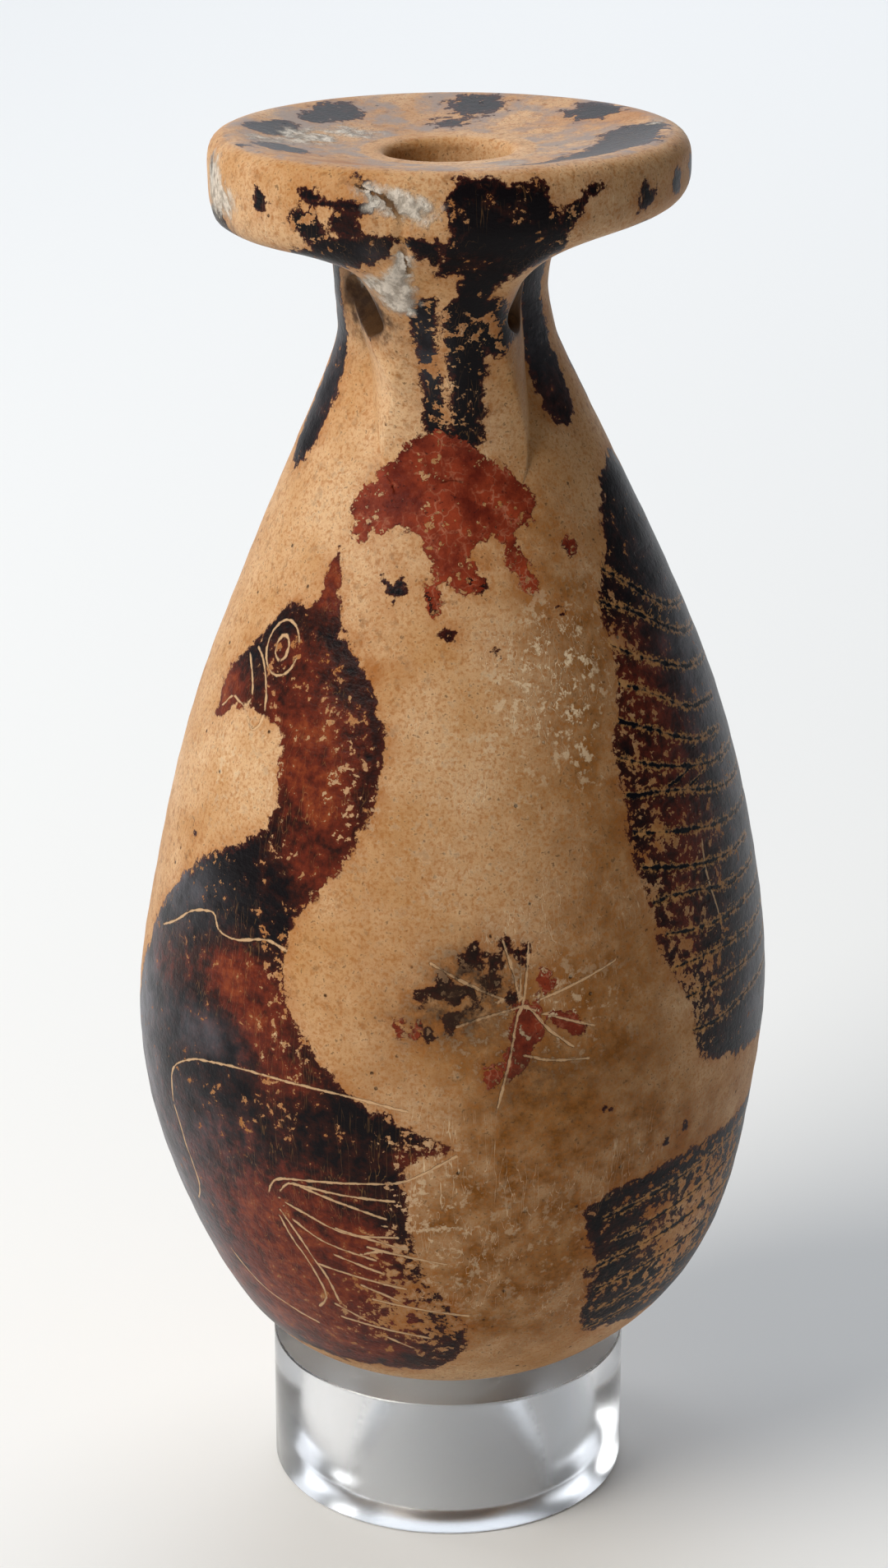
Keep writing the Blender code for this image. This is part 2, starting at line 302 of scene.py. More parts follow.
def points_at(line, run):
    """Points at these distances run along a line."""
    return np.stack([np.interp(run, travelled(line), part) for part in np.array(line).T], axis=1)


OUTER = np.array(body_outline() + disc_outline())
OUTER_RUN = travelled(OUTER)
INNER = hollow_outline(body_outline())
STRAP_START_HEIGHT = 65.5
BODY_SPACING, STRAP_SPACING, HOLLOW_SPACING = 0.62, 0.33, 3.0
strap_start = OUTER_RUN[np.argmax(OUTER[:, 1] >= STRAP_START_HEIGHT)]
body_run = np.arange(0.0, strap_start, BODY_SPACING)
strap_run = np.linspace(strap_start, OUTER_RUN[-1], int((OUTER_RUN[-1] - strap_start) / STRAP_SPACING))
section_run = np.concatenate([body_run, strap_run])
hollow_run = np.linspace(0.0, travelled(INNER)[-1], int(travelled(INNER)[-1] / HOLLOW_SPACING))
section = np.vstack([points_at(OUTER, section_run), points_at(INNER, hollow_run)])
print("section of", len(section), "points,", round(OUTER_RUN[-1], 1), "mm round the outside")


def turned_radius(height):
    """Outer radius of the turned body or neck at a height, without the strap or the disc."""
    body = OUTER[OUTER[:, 1] <= WAIST_HEIGHT][:, 1].argmax() + 1
    return np.interp(height, OUTER[:body, 1], OUTER[:body, 0])

# %% [markdown]
# ## Turning it
#
# The section is spun in two half turns that meet at the sides. The front half carries the lug,
# the holes and all the paint that is looked at most, so it gets three times as many steps as the
# back, and the whole piece stays under 200,000 triangles.

# %% Spin the section
FRONT_STEPS = 230
BACK_STEPS = 76
# Points closer than this are made one, in mm.
MERGE_MM = 0.002


def turned(points, steps_front, steps_back):
    """Spin an outline of (radius, height) in mm about Z, finer over the front half."""
    form = bmesh.new()
    for start, steps in ((math.pi, steps_front), (0.0, steps_back)):
        verts = []
        for radius, height in points:
            place = (radius * math.cos(start) * MM, 0.0, (height + BOTTOM) * MM)
            verts.append(form.verts.new(place))
        edges = [form.edges.new(pair) for pair in zip(verts, verts[1:])]
        bmesh.ops.spin(
            form, geom=verts + edges, cent=(0.0, 0.0, 0.0), axis=(0.0, 0.0, 1.0),
            angle=math.pi, steps=steps, use_merge=False,
        )
    bmesh.ops.remove_doubles(form, verts=form.verts, dist=MERGE_MM * MM)
    bmesh.ops.recalc_face_normals(form, faces=form.faces)
    mesh = bpy.data.meshes.new("flask body")
    form.to_mesh(mesh)
    form.free()
    return mesh


flask_mesh = turned(section, FRONT_STEPS, BACK_STEPS)
print(len(flask_mesh.vertices), "points after the spin")

# %% [markdown]
# ## The lug, and what the hand left
#
# On the real flask a strap of clay was pressed on between the shoulder and the front of the disc,
# and a cord hole was pushed through behind it. Here the strap is drawn as a second outline, the
# one the section would have at its very front. Each point between the shoulder and the disc's
# edge slides from its place on the turned form towards that second outline, by a share that is 1
# at the front and falls to 0 at the strap's sides. So the strap, its webs and the disc stay one
# skin with no seam.

# %% The strap's outline and width
# Heights above the flask's bottom, and how far the strap's face reaches out from the axis.
STRAP_FACE = (
    (67.6, 10.50), (69.4, 10.12), (72.9, 10.60), (76.9, 11.60),
    (79.6, 12.60), (81.6, 13.75), (83.2, 14.90), (84.2, 15.55),
)
# Half its width at the face, to its left and to its right, at the same kind of heights.
STRAP_LEFT = ((65.5, 5.0), (69.4, 5.3), (72.6, 5.0), (76.7, 4.6), (80.4, 4.7), (82.4, 5.8), (85.0, 9.4))
STRAP_RIGHT = ((65.5, 5.4), (69.4, 5.6), (72.6, 5.4), (76.7, 5.0), (80.4, 5.1), (82.4, 6.2), (85.0, 9.6))
STRAP_SIDE_SLOPE_LEFT = 0.16
STRAP_SIDE_SLOPE_RIGHT = 0.05
STRAP_SQUARENESS = 5.5
STRAP_BLEND = 0.08
# A low ridge up the strap's face: how far it stands out, where, and between which heights.
CREST_RISE = 0.38
CREST_AZIMUTH = 4.0
CREST_WIDTH = 8.0
CREST_STARTS = (69.0, 73.0)
CREST_ENDS = (80.0, 83.0)
# Only what lies this side of the flask's sides, in degrees, can slide towards the strap.
FRONT_LIMIT = 89.0
FACE_END_RADIUS = RIM_RADIUS - 0.10
strap_end = OUTER_RUN[np.argmax((OUTER[:, 0] >= FACE_END_RADIUS) & (OUTER[:, 1] > RIM_LOW - 0.01))]
(foot_radius, foot_height), (edge_radius, edge_height) = points_at(OUTER, [strap_start, strap_end])
face_heights = np.linspace(foot_height, edge_height, 200)
face_stations = [(foot_height, foot_radius), *STRAP_FACE, (edge_height, edge_radius)]
FACE = np.stack([through(face_heights, face_stations), face_heights], axis=1)
FACE_SHARE = travelled(FACE) / travelled(FACE)[-1]
print("strap face from", round(FACE[0, 0], 1), "to", round(FACE[-1, 0], 1), "mm out")


def lug_share(azimuth, reach, height):
    """How far each point has slid towards the strap's face: 1 at its front, 0 past its sides."""
    angle = np.radians(np.clip(np.abs(azimuth), 0.0, FRONT_LIMIT))
    to_left = azimuth < 0.0
    half = np.where(to_left, through(height, STRAP_LEFT), through(height, STRAP_RIGHT))
    slope = np.where(to_left, STRAP_SIDE_SLOPE_LEFT, STRAP_SIDE_SLOPE_RIGHT)
    side = (half + slope * reach) / (np.sin(angle) + slope * np.cos(angle))
    front = reach / np.cos(angle)
    radius = (front ** -STRAP_SQUARENESS + side ** -STRAP_SQUARENESS) ** (-1.0 / STRAP_SQUARENESS)
    neck = turned_radius(height)
    raw = (radius - neck) / np.maximum(reach - neck, 0.05)
    share = (raw + np.sqrt(raw ** 2 + STRAP_BLEND ** 2)) / 2.0
    share -= STRAP_BLEND ** 2 / (2.0 * (np.abs(raw) + STRAP_BLEND))
    return np.where(np.abs(azimuth) < FRONT_LIMIT, np.clip(share, 0.0, 1.0), 0.0)


# %% [markdown]
# The middle of the flask wanders a little sideways as it rises, because it was thrown by hand,
# and the disc tips down to the left and to the back. The surface has faint throwing rings and
# shallow dents. Those only ever go inwards, so the flask stays inside the solid's box.

# %% Wander, tips and dents
WANDER = (
    (0.00, 0.000), (0.02, 0.000), (0.08, 0.024), (0.24, 0.007), (0.42, 0.028), (0.62, 0.026),
    (0.76, 0.012), (0.81, 0.005), (0.85, -0.006), (0.88, -0.021), (0.95, 0.000), (1.00, 0.000),
)
TOP_TIP_DEGREES = 0.4
UNDER_TIP_DEGREES = 3.0
TOP_BACK_TIP_DEGREES = 3.1
UNDER_BACK_TIP_DEGREES = 1.6
# Points nearer the axis than the bore and this much more belong to the lip and the hollow.
LIP_BAND = 1.0
# Throwing rings: how deep they are, and the height above the bottom where they end.
THROWING_DEPTH = 0.012
THROWING_TOP = 80.0
# Hollows and lumps, as azimuth in degrees (0 at the front, + to the right), height above the
# ground, spread along and up in mm, and depth in mm (minus goes in).
DENTS = (
    (-58.0, 28.0, 9.0, 8.0, -0.12), (20.0, 60.0, 7.0, 9.0, -0.10), (60.0, 33.0, 8.0, 6.0, -0.15),
    (120.0, 50.0, 9.0, 9.0, -0.14), (200.0, 35.0, 10.0, 8.0, -0.12), (250.0, 66.0, 7.0, 6.0, -0.10),
    (35.0, 83.0, 3.0, 4.0, -0.16), (-34.0, 82.0, 2.6, 3.4, -0.22), (-50.0, 92.5, 3.0, 2.0, 0.15),
    (-62.0, 88.0, 1.4, 1.3, 0.22), (15.0, 42.3, 3.0, 0.5, -0.10), (-8.0, 74.5, 4.0, 1.4, -0.07),
    (-78.0, 97.4, 2.2, 1.4, -0.22), (-66.0, 95.2, 1.5, 1.0, -0.25), (-84.0, 95.6, 1.8, 1.3, -0.20),
    (40.0, 97.9, 3.0, 1.0, -0.10), (76.0, 96.5, 2.5, 1.6, -0.12), (150.0, 97.6, 3.0, 1.2, -0.22),
    (225.0, 95.4, 2.4, 1.4, -0.18),
    # A lip of clay smeared away from the hole's lower edge, and the hollow beside it.
    (-27.0, 86.9, 0.7, 0.7, 0.34), (-25.0, 86.2, 0.6, 0.6, 0.30), (-22.0, 85.5, 0.6, 0.6, 0.28),
    (-19.0, 84.9, 0.6, 0.6, 0.26), (-15.0, 84.3, 0.6, 0.5, 0.22), (-11.0, 83.6, 0.7, 0.5, 0.16),
    (-33.0, 85.2, 1.5, 1.5, -0.28), (-25.0, 83.4, 1.8, 1.1, -0.16),
    # Lumps of crust and small chips near the crack in the rim.
    (-14.0, 92.4, 0.9, 0.7, 0.26), (-10.5, 91.2, 0.6, 0.6, 0.22), (-16.5, 91.0, 0.7, 0.6, 0.20),
    (-11.0, 94.6, 0.35, 1.3, -0.30), (-14.0, 97.2, 0.9, 0.35, -0.22), (-19.0, 98.2, 1.2, 0.35, -0.20),
    (-7.0, 96.2, 0.9, 0.6, -0.12), (27.0, 96.9, 1.0, 0.6, -0.10), (-40.0, 93.0, 1.2, 0.6, -0.12),
)


def place_on_flask(points):
    """Azimuth in degrees and height above the ground in mm, for points in mm."""
    height = points[:, 2] - BOTTOM
    x = points[:, 0] - through(height / HEIGHT, WANDER) * BODY_RADIUS
    return np.degrees(np.arctan2(x, -points[:, 1])), points[:, 2]


def shape_by_hand(mesh):
    """Slide the front towards the strap, tip the disc, and press in the dents."""
    count = len(mesh.vertices)
    flat = np.zeros(count * 3)
    mesh.vertices.foreach_get("co", flat)
    points = flat.reshape(-1, 3) / MM
    radius = np.hypot(points[:, 0], points[:, 1])
    azimuth = np.degrees(np.arctan2(points[:, 0], -points[:, 1]))
    height = points[:, 2] - BOTTOM
    strap = np.where((section_run > strap_start) & (section_run < strap_end))[0]
    past_lip = radius > MOUTH_RADIUS + LIP_BAND
    front = np.where((np.abs(azimuth) < FRONT_LIMIT) & (height > foot_height) & past_lip)[0]
    apart = np.hypot(radius[front, None] - section[strap, 0], height[front, None] - section[strap, 1])
    on_section = apart.min(axis=1) < 0.01
    front, nearest = front[on_section], strap[apart.argmin(axis=1)][on_section]
    along = (section_run[nearest] - strap_start) / (strap_end - strap_start)
    reach = np.interp(along, FACE_SHARE, FACE[:, 0])
    level = np.interp(along, FACE_SHARE, FACE[:, 1])
    share = lug_share(azimuth[front], reach, level)
    radius[front] += (reach - radius[front]) * share
    height[front] += (level - height[front]) * share
    crest = np.exp(-((azimuth[front] - CREST_AZIMUTH) / CREST_WIDTH) ** 2)
    ridge = CREST_RISE * crest * soft_step(level, *CREST_STARTS)
    radius[front] += ridge * (1.0 - soft_step(level, *CREST_ENDS))
    outside = (radius > turned_radius(height) - WALL / 2.0) & (radius > MOUTH_RADIUS + LIP_BAND)
    wheel = np.sin(height * 2.1) + 0.6 * np.sin(height * 3.7 + azimuth * 0.013)
    radius -= np.where(outside & (height < THROWING_TOP), THROWING_DEPTH * (1.6 + wheel), 0.0)
    for middle, level, wide, tall, depth in DENTS:
        around = (azimuth - middle + 180.0) % 360.0 - 180.0
        sideways = np.radians(around) * radius / wide
        upward = (height + BOTTOM - level) / tall
        radius += np.where(outside, depth * np.exp(-sideways ** 2 - upward ** 2), 0.0)
    turn = np.radians(azimuth)
    x, y = radius * np.sin(turn), -radius * np.cos(turn)
    rim = soft_step(height, RIM_LOW, HEIGHT)
    side_tip = np.radians(UNDER_TIP_DEGREES * (1.0 - rim) + TOP_TIP_DEGREES * rim)
    back_tip = np.radians(UNDER_BACK_TIP_DEGREES * (1.0 - rim) + TOP_BACK_TIP_DEGREES * rim)
    tipping = soft_step(height, WAIST_HEIGHT, RIM_LOW)
    z = height + BOTTOM + (x * np.tan(side_tip) - y * np.tan(back_tip)) * tipping
    x += through(height / HEIGHT, WANDER) * BODY_RADIUS
    mesh.vertices.foreach_set("co", (np.stack([x, y, z], axis=1) * MM).ravel())
    mesh.update()


shape_by_hand(flask_mesh)
flask = bpy.data.objects.new("painted_flask", flask_mesh)
bpy.context.scene.collection.objects.link(flask)
print("shaped", len(flask_mesh.vertices), "points")

# %% [markdown]
# ## The cord hole
#
# The potter pushed a stick through behind the strap from the left, while the clay was soft. It
# went in wide and came out narrow, so the left mouth is a broad oval and the right one a slit. A
# tapering tube lofted through a few rings is cut from the flask with a Boolean, which is then
# applied, because the paint is laid on the finished skin.

# %% Cut the hole
# Rings of the stick's path: x, y and z of the middle, then half the depth and half the height.
HOLE_RINGS = (
    (-9.5, -7.1, 89.0, 4.4, 2.3), (-6.4, -7.5, 89.1, 3.6, 2.0), (-5.0, -8.1, 89.2, 3.0, 1.85),
    (-3.6, -8.8, 89.3, 2.2, 1.7), (-1.5, -9.3, 89.4, 1.5, 1.5), (2.0, -9.4, 89.5, 1.3, 1.5),
    (4.2, -8.9, 89.4, 1.9, 1.85), (5.4, -8.4, 89.4, 2.6, 2.15), (9.0, -7.9, 89.4, 3.1, 2.3),
)
HOLE_STEPS = 56
HOLE_RINGS_BETWEEN = 6


def hole_tool():
    """A closed tapering tube along the hole's path."""
    rings = np.array(HOLE_RINGS)
    places = np.linspace(0.0, len(rings) - 1.0, (len(rings) - 1) * HOLE_RINGS_BETWEEN + 1)
    smooth = [through(places, list(enumerate(line))) for line in rings.T]
    form = bmesh.new()
    loops = []
    for x, y, z, deep, tall in zip(*smooth):
        ring = []
        for step in range(HOLE_STEPS):
            turn = 2.0 * math.pi * step / HOLE_STEPS
            rough = 1.0 + 0.05 * math.sin(3.0 * turn + x) + 0.03 * math.sin(5.0 * turn - 2.0 * x)
            ring.append(form.verts.new((
                x * MM, (y + deep * rough * math.cos(turn)) * MM, (z + tall * rough * math.sin(turn)) * MM,
            )))
        loops.append([form.edges.new(pair) for pair in zip(ring, ring[1:] + ring[:1])])
    for one, other in zip(loops, loops[1:]):
        bmesh.ops.bridge_loops(form, edges=one + other)
    bmesh.ops.holes_fill(form, edges=loops[0] + loops[-1], sides=0)
    bmesh.ops.recalc_face_normals(form, faces=form.faces)
    mesh = bpy.data.meshes.new("hole tool")
    form.to_mesh(mesh)
    form.free()
    return bpy.data.objects.new("hole tool", mesh)


tool = hole_tool()
bpy.context.scene.collection.objects.link(tool)
cut = flask.modifiers.new("cord hole", 'BOOLEAN')
cut.operation = 'DIFFERENCE'
cut.solver = 'EXACT'
cut.object = tool
drilled = bpy.data.meshes.new_from_object(flask.evaluated_get(bpy.context.evaluated_depsgraph_get()))
flask.modifiers.clear()
flask.data = drilled
bpy.data.objects.remove(tool)
flask_mesh = flask.data
print("after the hole:", len(flask_mesh.vertices), "points")

# %% [markdown]
# ## Drawing on the flask
#
# The painter drew with dark slip, laid red over some of it and cut the details through with a
# point. Each painted area is drawn here as a closed outline of a few points in azimuth and
# height, smoothed into curves. Every point of the mesh then gets its distance to the nearest
# outline, more than 0 inside and less outside, and the material turns that distance into a
# flaked edge. A few hundred numbers so give edges far sharper than the mesh itself.

# %% Tools for outlines
FAR_MM = 6.0


def smoothed(points, closed, between=5):
    """A smooth line through a few points, closed on itself or open."""
    corners = np.array(points, dtype=float)
    if closed:
        padded = np.vstack([corners[-1], corners, corners[:2]])
    else:
        padded = np.vstack([2.0 * corners[0] - corners[1], corners, 2.0 * corners[-1] - corners[-2]])
    line = []
    for p0, p1, p2, p3 in zip(padded, padded[1:], padded[2:], padded[3:]):
        for t in np.linspace(0.0, 1.0, between, endpoint=False):
            bend = (2.0 * p0 - 5.0 * p1 + 4.0 * p2 - p3) * t ** 2 + (3.0 * p1 - p0 - 3.0 * p2 + p3) * t ** 3
            line.append(p1 + ((p2 - p0) * t + bend) / 2.0)
    line.append(corners[0] if closed else corners[-1])
    return np.array(line)


class Skin:
    """Where the mesh's points lie on the flask, for drawing on it."""

    def __init__(self, mesh):
        flat = np.zeros(len(mesh.vertices) * 3)
        mesh.vertices.foreach_get("co", flat)
        self.points = flat.reshape(-1, 3) / MM
        self.azimuth, self.height = place_on_flask(self.points)
        self.radius = np.hypot(self.points[:, 0], self.points[:, 1])
        level = self.height - BOTTOM
        wall = self.radius > turned_radius(level) - WALL / 2.0
        self.outside = wall & (self.radius > MOUTH_RADIUS + LIP_BAND)
        self.top = self.outside & (self.radius < RIM_RADIUS - 1.2) & (level > RIM_LOW + RIM_THICKNESS / 2.0)
        self.side = self.outside & ~self.top

    def near(self, line, reach):
        """Points of the side within reach of a line's box, and their azimuths beside it."""
        middle = (line[:, 0].min() + line[:, 0].max()) / 2.0
        azimuth = (self.azimuth - middle + 180.0) % 360.0 - 180.0 + middle
        wide = np.degrees(reach / np.maximum(self.radius, 1.0))
        chosen = self.side & (azimuth > line[:, 0].min() - wide) & (azimuth < line[:, 0].max() + wide)
        chosen &= (self.height > line[:, 1].min() - reach) & (self.height < line[:, 1].max() + reach)
        chosen = np.where(chosen)[0]
        return chosen, azimuth[chosen]

    def offset(self, line, reach):
        """Points near a line, with the way to its nearest place in mm, along and up."""
        chosen, azimuth = self.near(line, reach)
        height = self.height[chosen]
        per_degree = np.radians(1.0) * self.radius[chosen]
        way = np.full((len(chosen), 2), FAR_MM)
        for (azimuth_0, height_0), (azimuth_1, height_1) in zip(line, line[1:]):
            start = np.stack([(azimuth_0 - azimuth) * per_degree, height_0 - height], axis=1)
            rise = np.full(len(height), height_1 - height_0)
            run = np.stack([(azimuth_1 - azimuth_0) * per_degree, rise], axis=1)
            share = -(start * run).sum(axis=1) / np.maximum((run ** 2).sum(axis=1), 1e-9)
            there = start + run * np.clip(share, 0.0, 1.0)[:, None]
            closer = (there ** 2).sum(axis=1) < (way ** 2).sum(axis=1)
            way[closer] = there[closer]
        return chosen, way

    def depth_inside(self, line, reach):
        """Points near a closed line, with how far inside it they are in mm."""
        chosen, azimuth = self.near(line, reach)
        height = self.height[chosen]
        inside = np.zeros(len(chosen), dtype=bool)
        for (azimuth_0, height_0), (azimuth_1, height_1) in zip(line, line[1:]):
            if height_0 == height_1:
                continue
            crossing = azimuth_0 + (height - height_0) / (height_1 - height_0) * (azimuth_1 - azimuth_0)
            inside ^= ((height_0 > height) != (height_1 > height)) & (azimuth < crossing)
        apart = np.hypot(*self.offset(line, reach)[1].T)
        return chosen, np.where(inside, apart, -apart)

    def spots(self, marks):
        """Soft spots added up: (azimuth, height, spread along, spread up, strength) each."""
        total = np.zeros(len(self.azimuth))
        for azimuth, height, wide, tall, strength in marks:
            around = (self.azimuth - azimuth + 180.0) % 360.0 - 180.0
            sideways = np.radians(around) * self.radius / wide
            total += strength * np.exp(-sideways ** 2 - ((self.height - height) / tall) ** 2)
        return np.where(self.side, total, 0.0)

    def top_spots(self, marks):
        """Soft spots on the disc's top: (x, y, spread, strength) each."""
        total = np.zeros(len(self.azimuth))
        for x, y, spread, strength in marks:
            apart = ((self.points[:, 0] - x) ** 2 + (self.points[:, 1] - y) ** 2) / spread ** 2
            total += strength * np.exp(-apart)
        return np.where(self.top, total, 0.0)


skin = Skin(flask_mesh)
print(int(skin.outside.sum()), "points on the outside")

# %% [markdown]
# ## The dark slip
#
# A bird stands on the left with its head turned to the left, and its twin stands on the far
# side, with a raised wing that comes round into view on the right and a tail below it. Tongues
# hang round the neck, dots run round the disc's edge, and the lug's face is painted solid. On
# the side that can't be seen the same motifs are carried on more plainly, with three rosettes
# between the birds.

# %% Outlines of the slip
# All as (azimuth in degrees, height above the ground in mm).
BIRD = (
    (-58, 51.5), (-66, 49), (-73.5, 46), (-80, 41.5), (-88, 35), (-93, 31), (-94, 27), (-92, 23),
    (-86, 19), (-76, 16), (-62, 14.6), (-45, 14.2), (-25, 14.4), (-5, 15), (1, 17), (2, 19.5), (-2, 23),
    (-5, 25), (-7, 28), (-8.5, 33.2), (-5, 34.5), (0.5, 35.2), (-10, 37.2), (-19, 38.8), (-24, 40.7),
    (-30, 43), (-33, 45.5), (-33.5, 47.8), (-31, 50.5), (-24, 53.5), (-19, 57), (-16.5, 62),
    (-21, 65.5), (-30, 68), (-40, 69), (-48, 69.2), (-54, 68.3), (-59, 66.2), (-65, 64.6), (-68, 62.3),
    (-67, 60.5), (-63.5, 60.8), (-58, 62), (-50, 61.9), (-43, 61.7), (-40.5, 59.5), (-40, 56.8),
    (-43, 54.9), (-50, 53.2),
)
CREST = ((-43, 67.8), (-40.2, 70.2), (-37.2, 73.2), (-34.0, 70.8), (-30.5, 67.4))
WING = (
    (88, 77), (70, 77), (60, 76), (52, 73), (45, 71), (41, 69.5), (42, 66), (37, 62), (35, 60),
    (36.5, 57.5), (35.5, 55), (37, 52.5), (39, 50), (40, 47), (43, 45), (47, 42), (48, 39.5), (52, 38),
    (60, 37), (72, 36.2), (88, 35), (98, 36), (105, 42), (107, 50), (106, 58), (103, 66), (98, 73),
)
TAIL = (
    (26, 29.6), (34, 30.6), (50, 31.2), (65, 31), (84, 30.5), (92, 25), (86, 19), (70, 17), (50, 16.6),
    (38, 17.3), (30, 18.2), (27.5, 21), (28.5, 24.5), (26.5, 26.5),
)
STRAP_RIGHT_PAINT = (
    (0.3, 98.9), (8, 99.3), (15, 98.9), (22, 98.8), (25, 97.2), (28, 95.6), (30.5, 94.6), (27, 93.7),
    (22, 93), (17, 92.3), (13.5, 91.2), (12.6, 90), (13.6, 88), (13.2, 86), (12.2, 84), (11.6, 82),
    (10.8, 80.4), (4, 80.2), (0.4, 81), (-0.2, 84), (-0.4, 88), (0.2, 90.4), (2.6, 91), (3.4, 92.6),
    (0.5, 92.9), (-2.5, 92.6), (-2.6, 94), (-0.4, 95.2), (-0.2, 97),
)
STRAP_LEFT_PAINT = (
    (-9.5, 90.2), (-4, 91.2), (-0.6, 90.6), (-0.4, 87), (-0.6, 84), (-0.9, 81.3), (-5, 81), (-10, 81.2),
    (-9.3, 84), (-8.6, 87),
)
STRAP_STREAK = ((10, 90.6), (16, 90.8), (23, 89.3), (26, 87.8), (20, 86.8), (14, 86.6), (10.5, 88))
STRAP_FOOT_LINE = ((-13, 80.5), (-8, 82), (0, 81.8), (8, 81.4), (9.5, 79.8), (3, 80.2), (-6, 80.9))
RIM_MARKS = (
    ((-10, 95.4), (-6.5, 95.6), (-2, 95.3), (-1.6, 94.2), (-3, 93.3), (-6, 94.1), (-9, 94.6)),
    ((-36.5, 97.9), (-32, 98.2), (-28, 97.7), (-18.5, 97.7), (-18, 97.1), (-24, 97), (-29, 97), (-35, 97.2)),
    ((-31, 95.1), (-26, 95.4), (-21, 95.5), (-16, 95.7), (-12, 95.6), (-12.2, 94.5), (-16, 94),
     (-20, 93.3), (-25, 92.9), (-32, 92.8), (-40, 92.7), (-43, 93.3), (-38, 94), (-34, 94.4)),
    ((-39.5, 96.2), (-36, 96.8), (-31, 96.5), (-29, 95.4), (-32, 94.6), (-36, 94.9)),
    ((-28, 96.6), (-24, 96.9), (-20.5, 96.2), (-21, 95.3), (-25, 95.2), (-28, 95.7)),
    ((25.5, 96.5), (28, 97.2), (31, 97.9), (35, 98.5), (37, 98), (33, 97.1), (30.5, 96.3), (28.5, 95.5),
     (26, 95.4)),
    ((-22, 99.2), (-18.5, 98.6), (-16.5, 97.9), (-18.5, 98), (-21.5, 98.7)),
)
HOOK = (
    (-22, 72), (-20.5, 71), (-17, 70.6), (-14, 71.2), (-14.5, 72.3), (-17, 71.9), (-18.5, 71.6),
    (-20.5, 72.4),
)
NECK_TONGUES = ((-75.0, 76.8), (57.0, 80.2), (102.6, 79.0), (148.2, 78.0), (193.8, 77.6), (239.4, 77.2))
TONGUE_HALF_WIDTH = 12.5
TONGUE_TOP = 94.2
RIM_DOTS = (
    -95.0, -79.0, -49.0, 52.0, 67.5, 83.0, 98.5, 114.0, 129.5, 145.0, 160.5, 176.0, 191.5, 207.0,
    222.5, 238.0, 250.0,
)
RIM_DOT_HEIGHT = 96.8
RIM_DOT_RADIUS = 0.85
ROSETTES = ((226.0, 49.0, 4.6), (226.0, 68.5, 3.0), (226.0, 27.0, 3.4))
ROSETTE_PETALS = 7
TWIN_AZIMUTH = 85.0


def round_spot(azimuth, height, radius, at_radius, unevenness=0.18):
    """A round dab of the brush, a little uneven, as an outline of eight points."""
    points = []
    for step in range(8):
        turn = math.pi * step / 4.0
        size = radius * (1.0 + unevenness * math.sin(3.1 * turn + azimuth))
        aside = math.degrees(size * math.cos(turn) / at_radius)
        points.append((azimuth + aside, height + size * math.sin(turn)))
    return points


def tongue(azimuth, tip):
    """One tongue that hangs down the neck from under the disc to its rounded tip."""
    half = TONGUE_HALF_WIDTH
    shape = ((-0.62, 1.0), (-0.8, 0.6), (-1.0, 0.25), (-0.75, 0.07), (-0.2, 0.0), (0.4, 0.03),
             (0.9, 0.16), (1.0, 0.4), (0.8, 0.7), (0.62, 1.0))
    return [(azimuth + half * aside, tip + (TONGUE_TOP - tip) * up) for aside, up in shape]


def rosette(azimuth, height, radius):
    """Petals round a middle, each one dab of slip."""
    at_radius = float(turned_radius(height - BOTTOM))
    dabs = [round_spot(azimuth, height, radius * 0.24, at_radius)]
    for petal in range(ROSETTE_PETALS):
        turn = 2.0 * math.pi * petal / ROSETTE_PETALS
        across = radius * 0.66 * math.cos(turn)
        middle = azimuth + math.degrees(across / at_radius)
        dabs.append(round_spot(middle, height + radius * 0.66 * math.sin(turn), radius * 0.27, at_radius))
    return dabs


slip_outlines = [BIRD, CREST, WING, TAIL, STRAP_RIGHT_PAINT, STRAP_LEFT_PAINT, STRAP_STREAK]
slip_outlines += [STRAP_FOOT_LINE, HOOK, *RIM_MARKS]
slip_outlines.append([(TWIN_AZIMUTH - azimuth, height) for azimuth, height in BIRD])
slip_outlines += [tongue(azimuth, tip) for azimuth, tip in NECK_TONGUES]
slip_outlines += [round_spot(azimuth, RIM_DOT_HEIGHT, RIM_DOT_RADIUS, RIM_RADIUS) for azimuth in RIM_DOTS]
for azimuth, height, radius in ROSETTES:
    slip_outlines += rosette(azimuth, height, radius)
# Crumbs of slip that are all that is left of a rosette in front, and loose specks elsewhere.
SPECKS = (
    (3, 48.6, 0.9), (6.5, 48.2, 0.7), (-3, 46.4, 0.8), (0.5, 46.2, 1.0), (3.5, 45.6, 0.6), (-6.5, 46, 0.5),
    (9, 49.4, 0.5), (12, 48.6, 0.6), (-1, 44.3, 0.5), (6, 46.8, 0.7), (9.3, 45.9, 0.5), (-5, 43.4, 0.4),
    (7, 71.9, 0.5), (-63.5, 52.6, 0.35), (10.5, 67.8, 0.3), (-2, 68.7, 0.35), (37.5, 73.4, 0.5),
    (27.5, 37, 0.3), (42, 32.9, 0.5), (47, 33.3, 0.4), (30, 28.2, 0.8), (27, 23.8, 0.5), (-6.5, 70.8, 0.4),
    (30, 21.6, 0.5), (41, 18.4, 0.4), (29, 69.6, 0.3),
)
for azimuth, height, size in SPECKS:
    at_radius = float(turned_radius(height - BOTTOM))
    slip_outlines.append(round_spot(azimuth, height, size, at_radius, unevenness=0.35))

# %% [markdown]
# The dull red lies in a broad ornament under the lug and in the rosette in front, where only a
# few flakes of it are left.

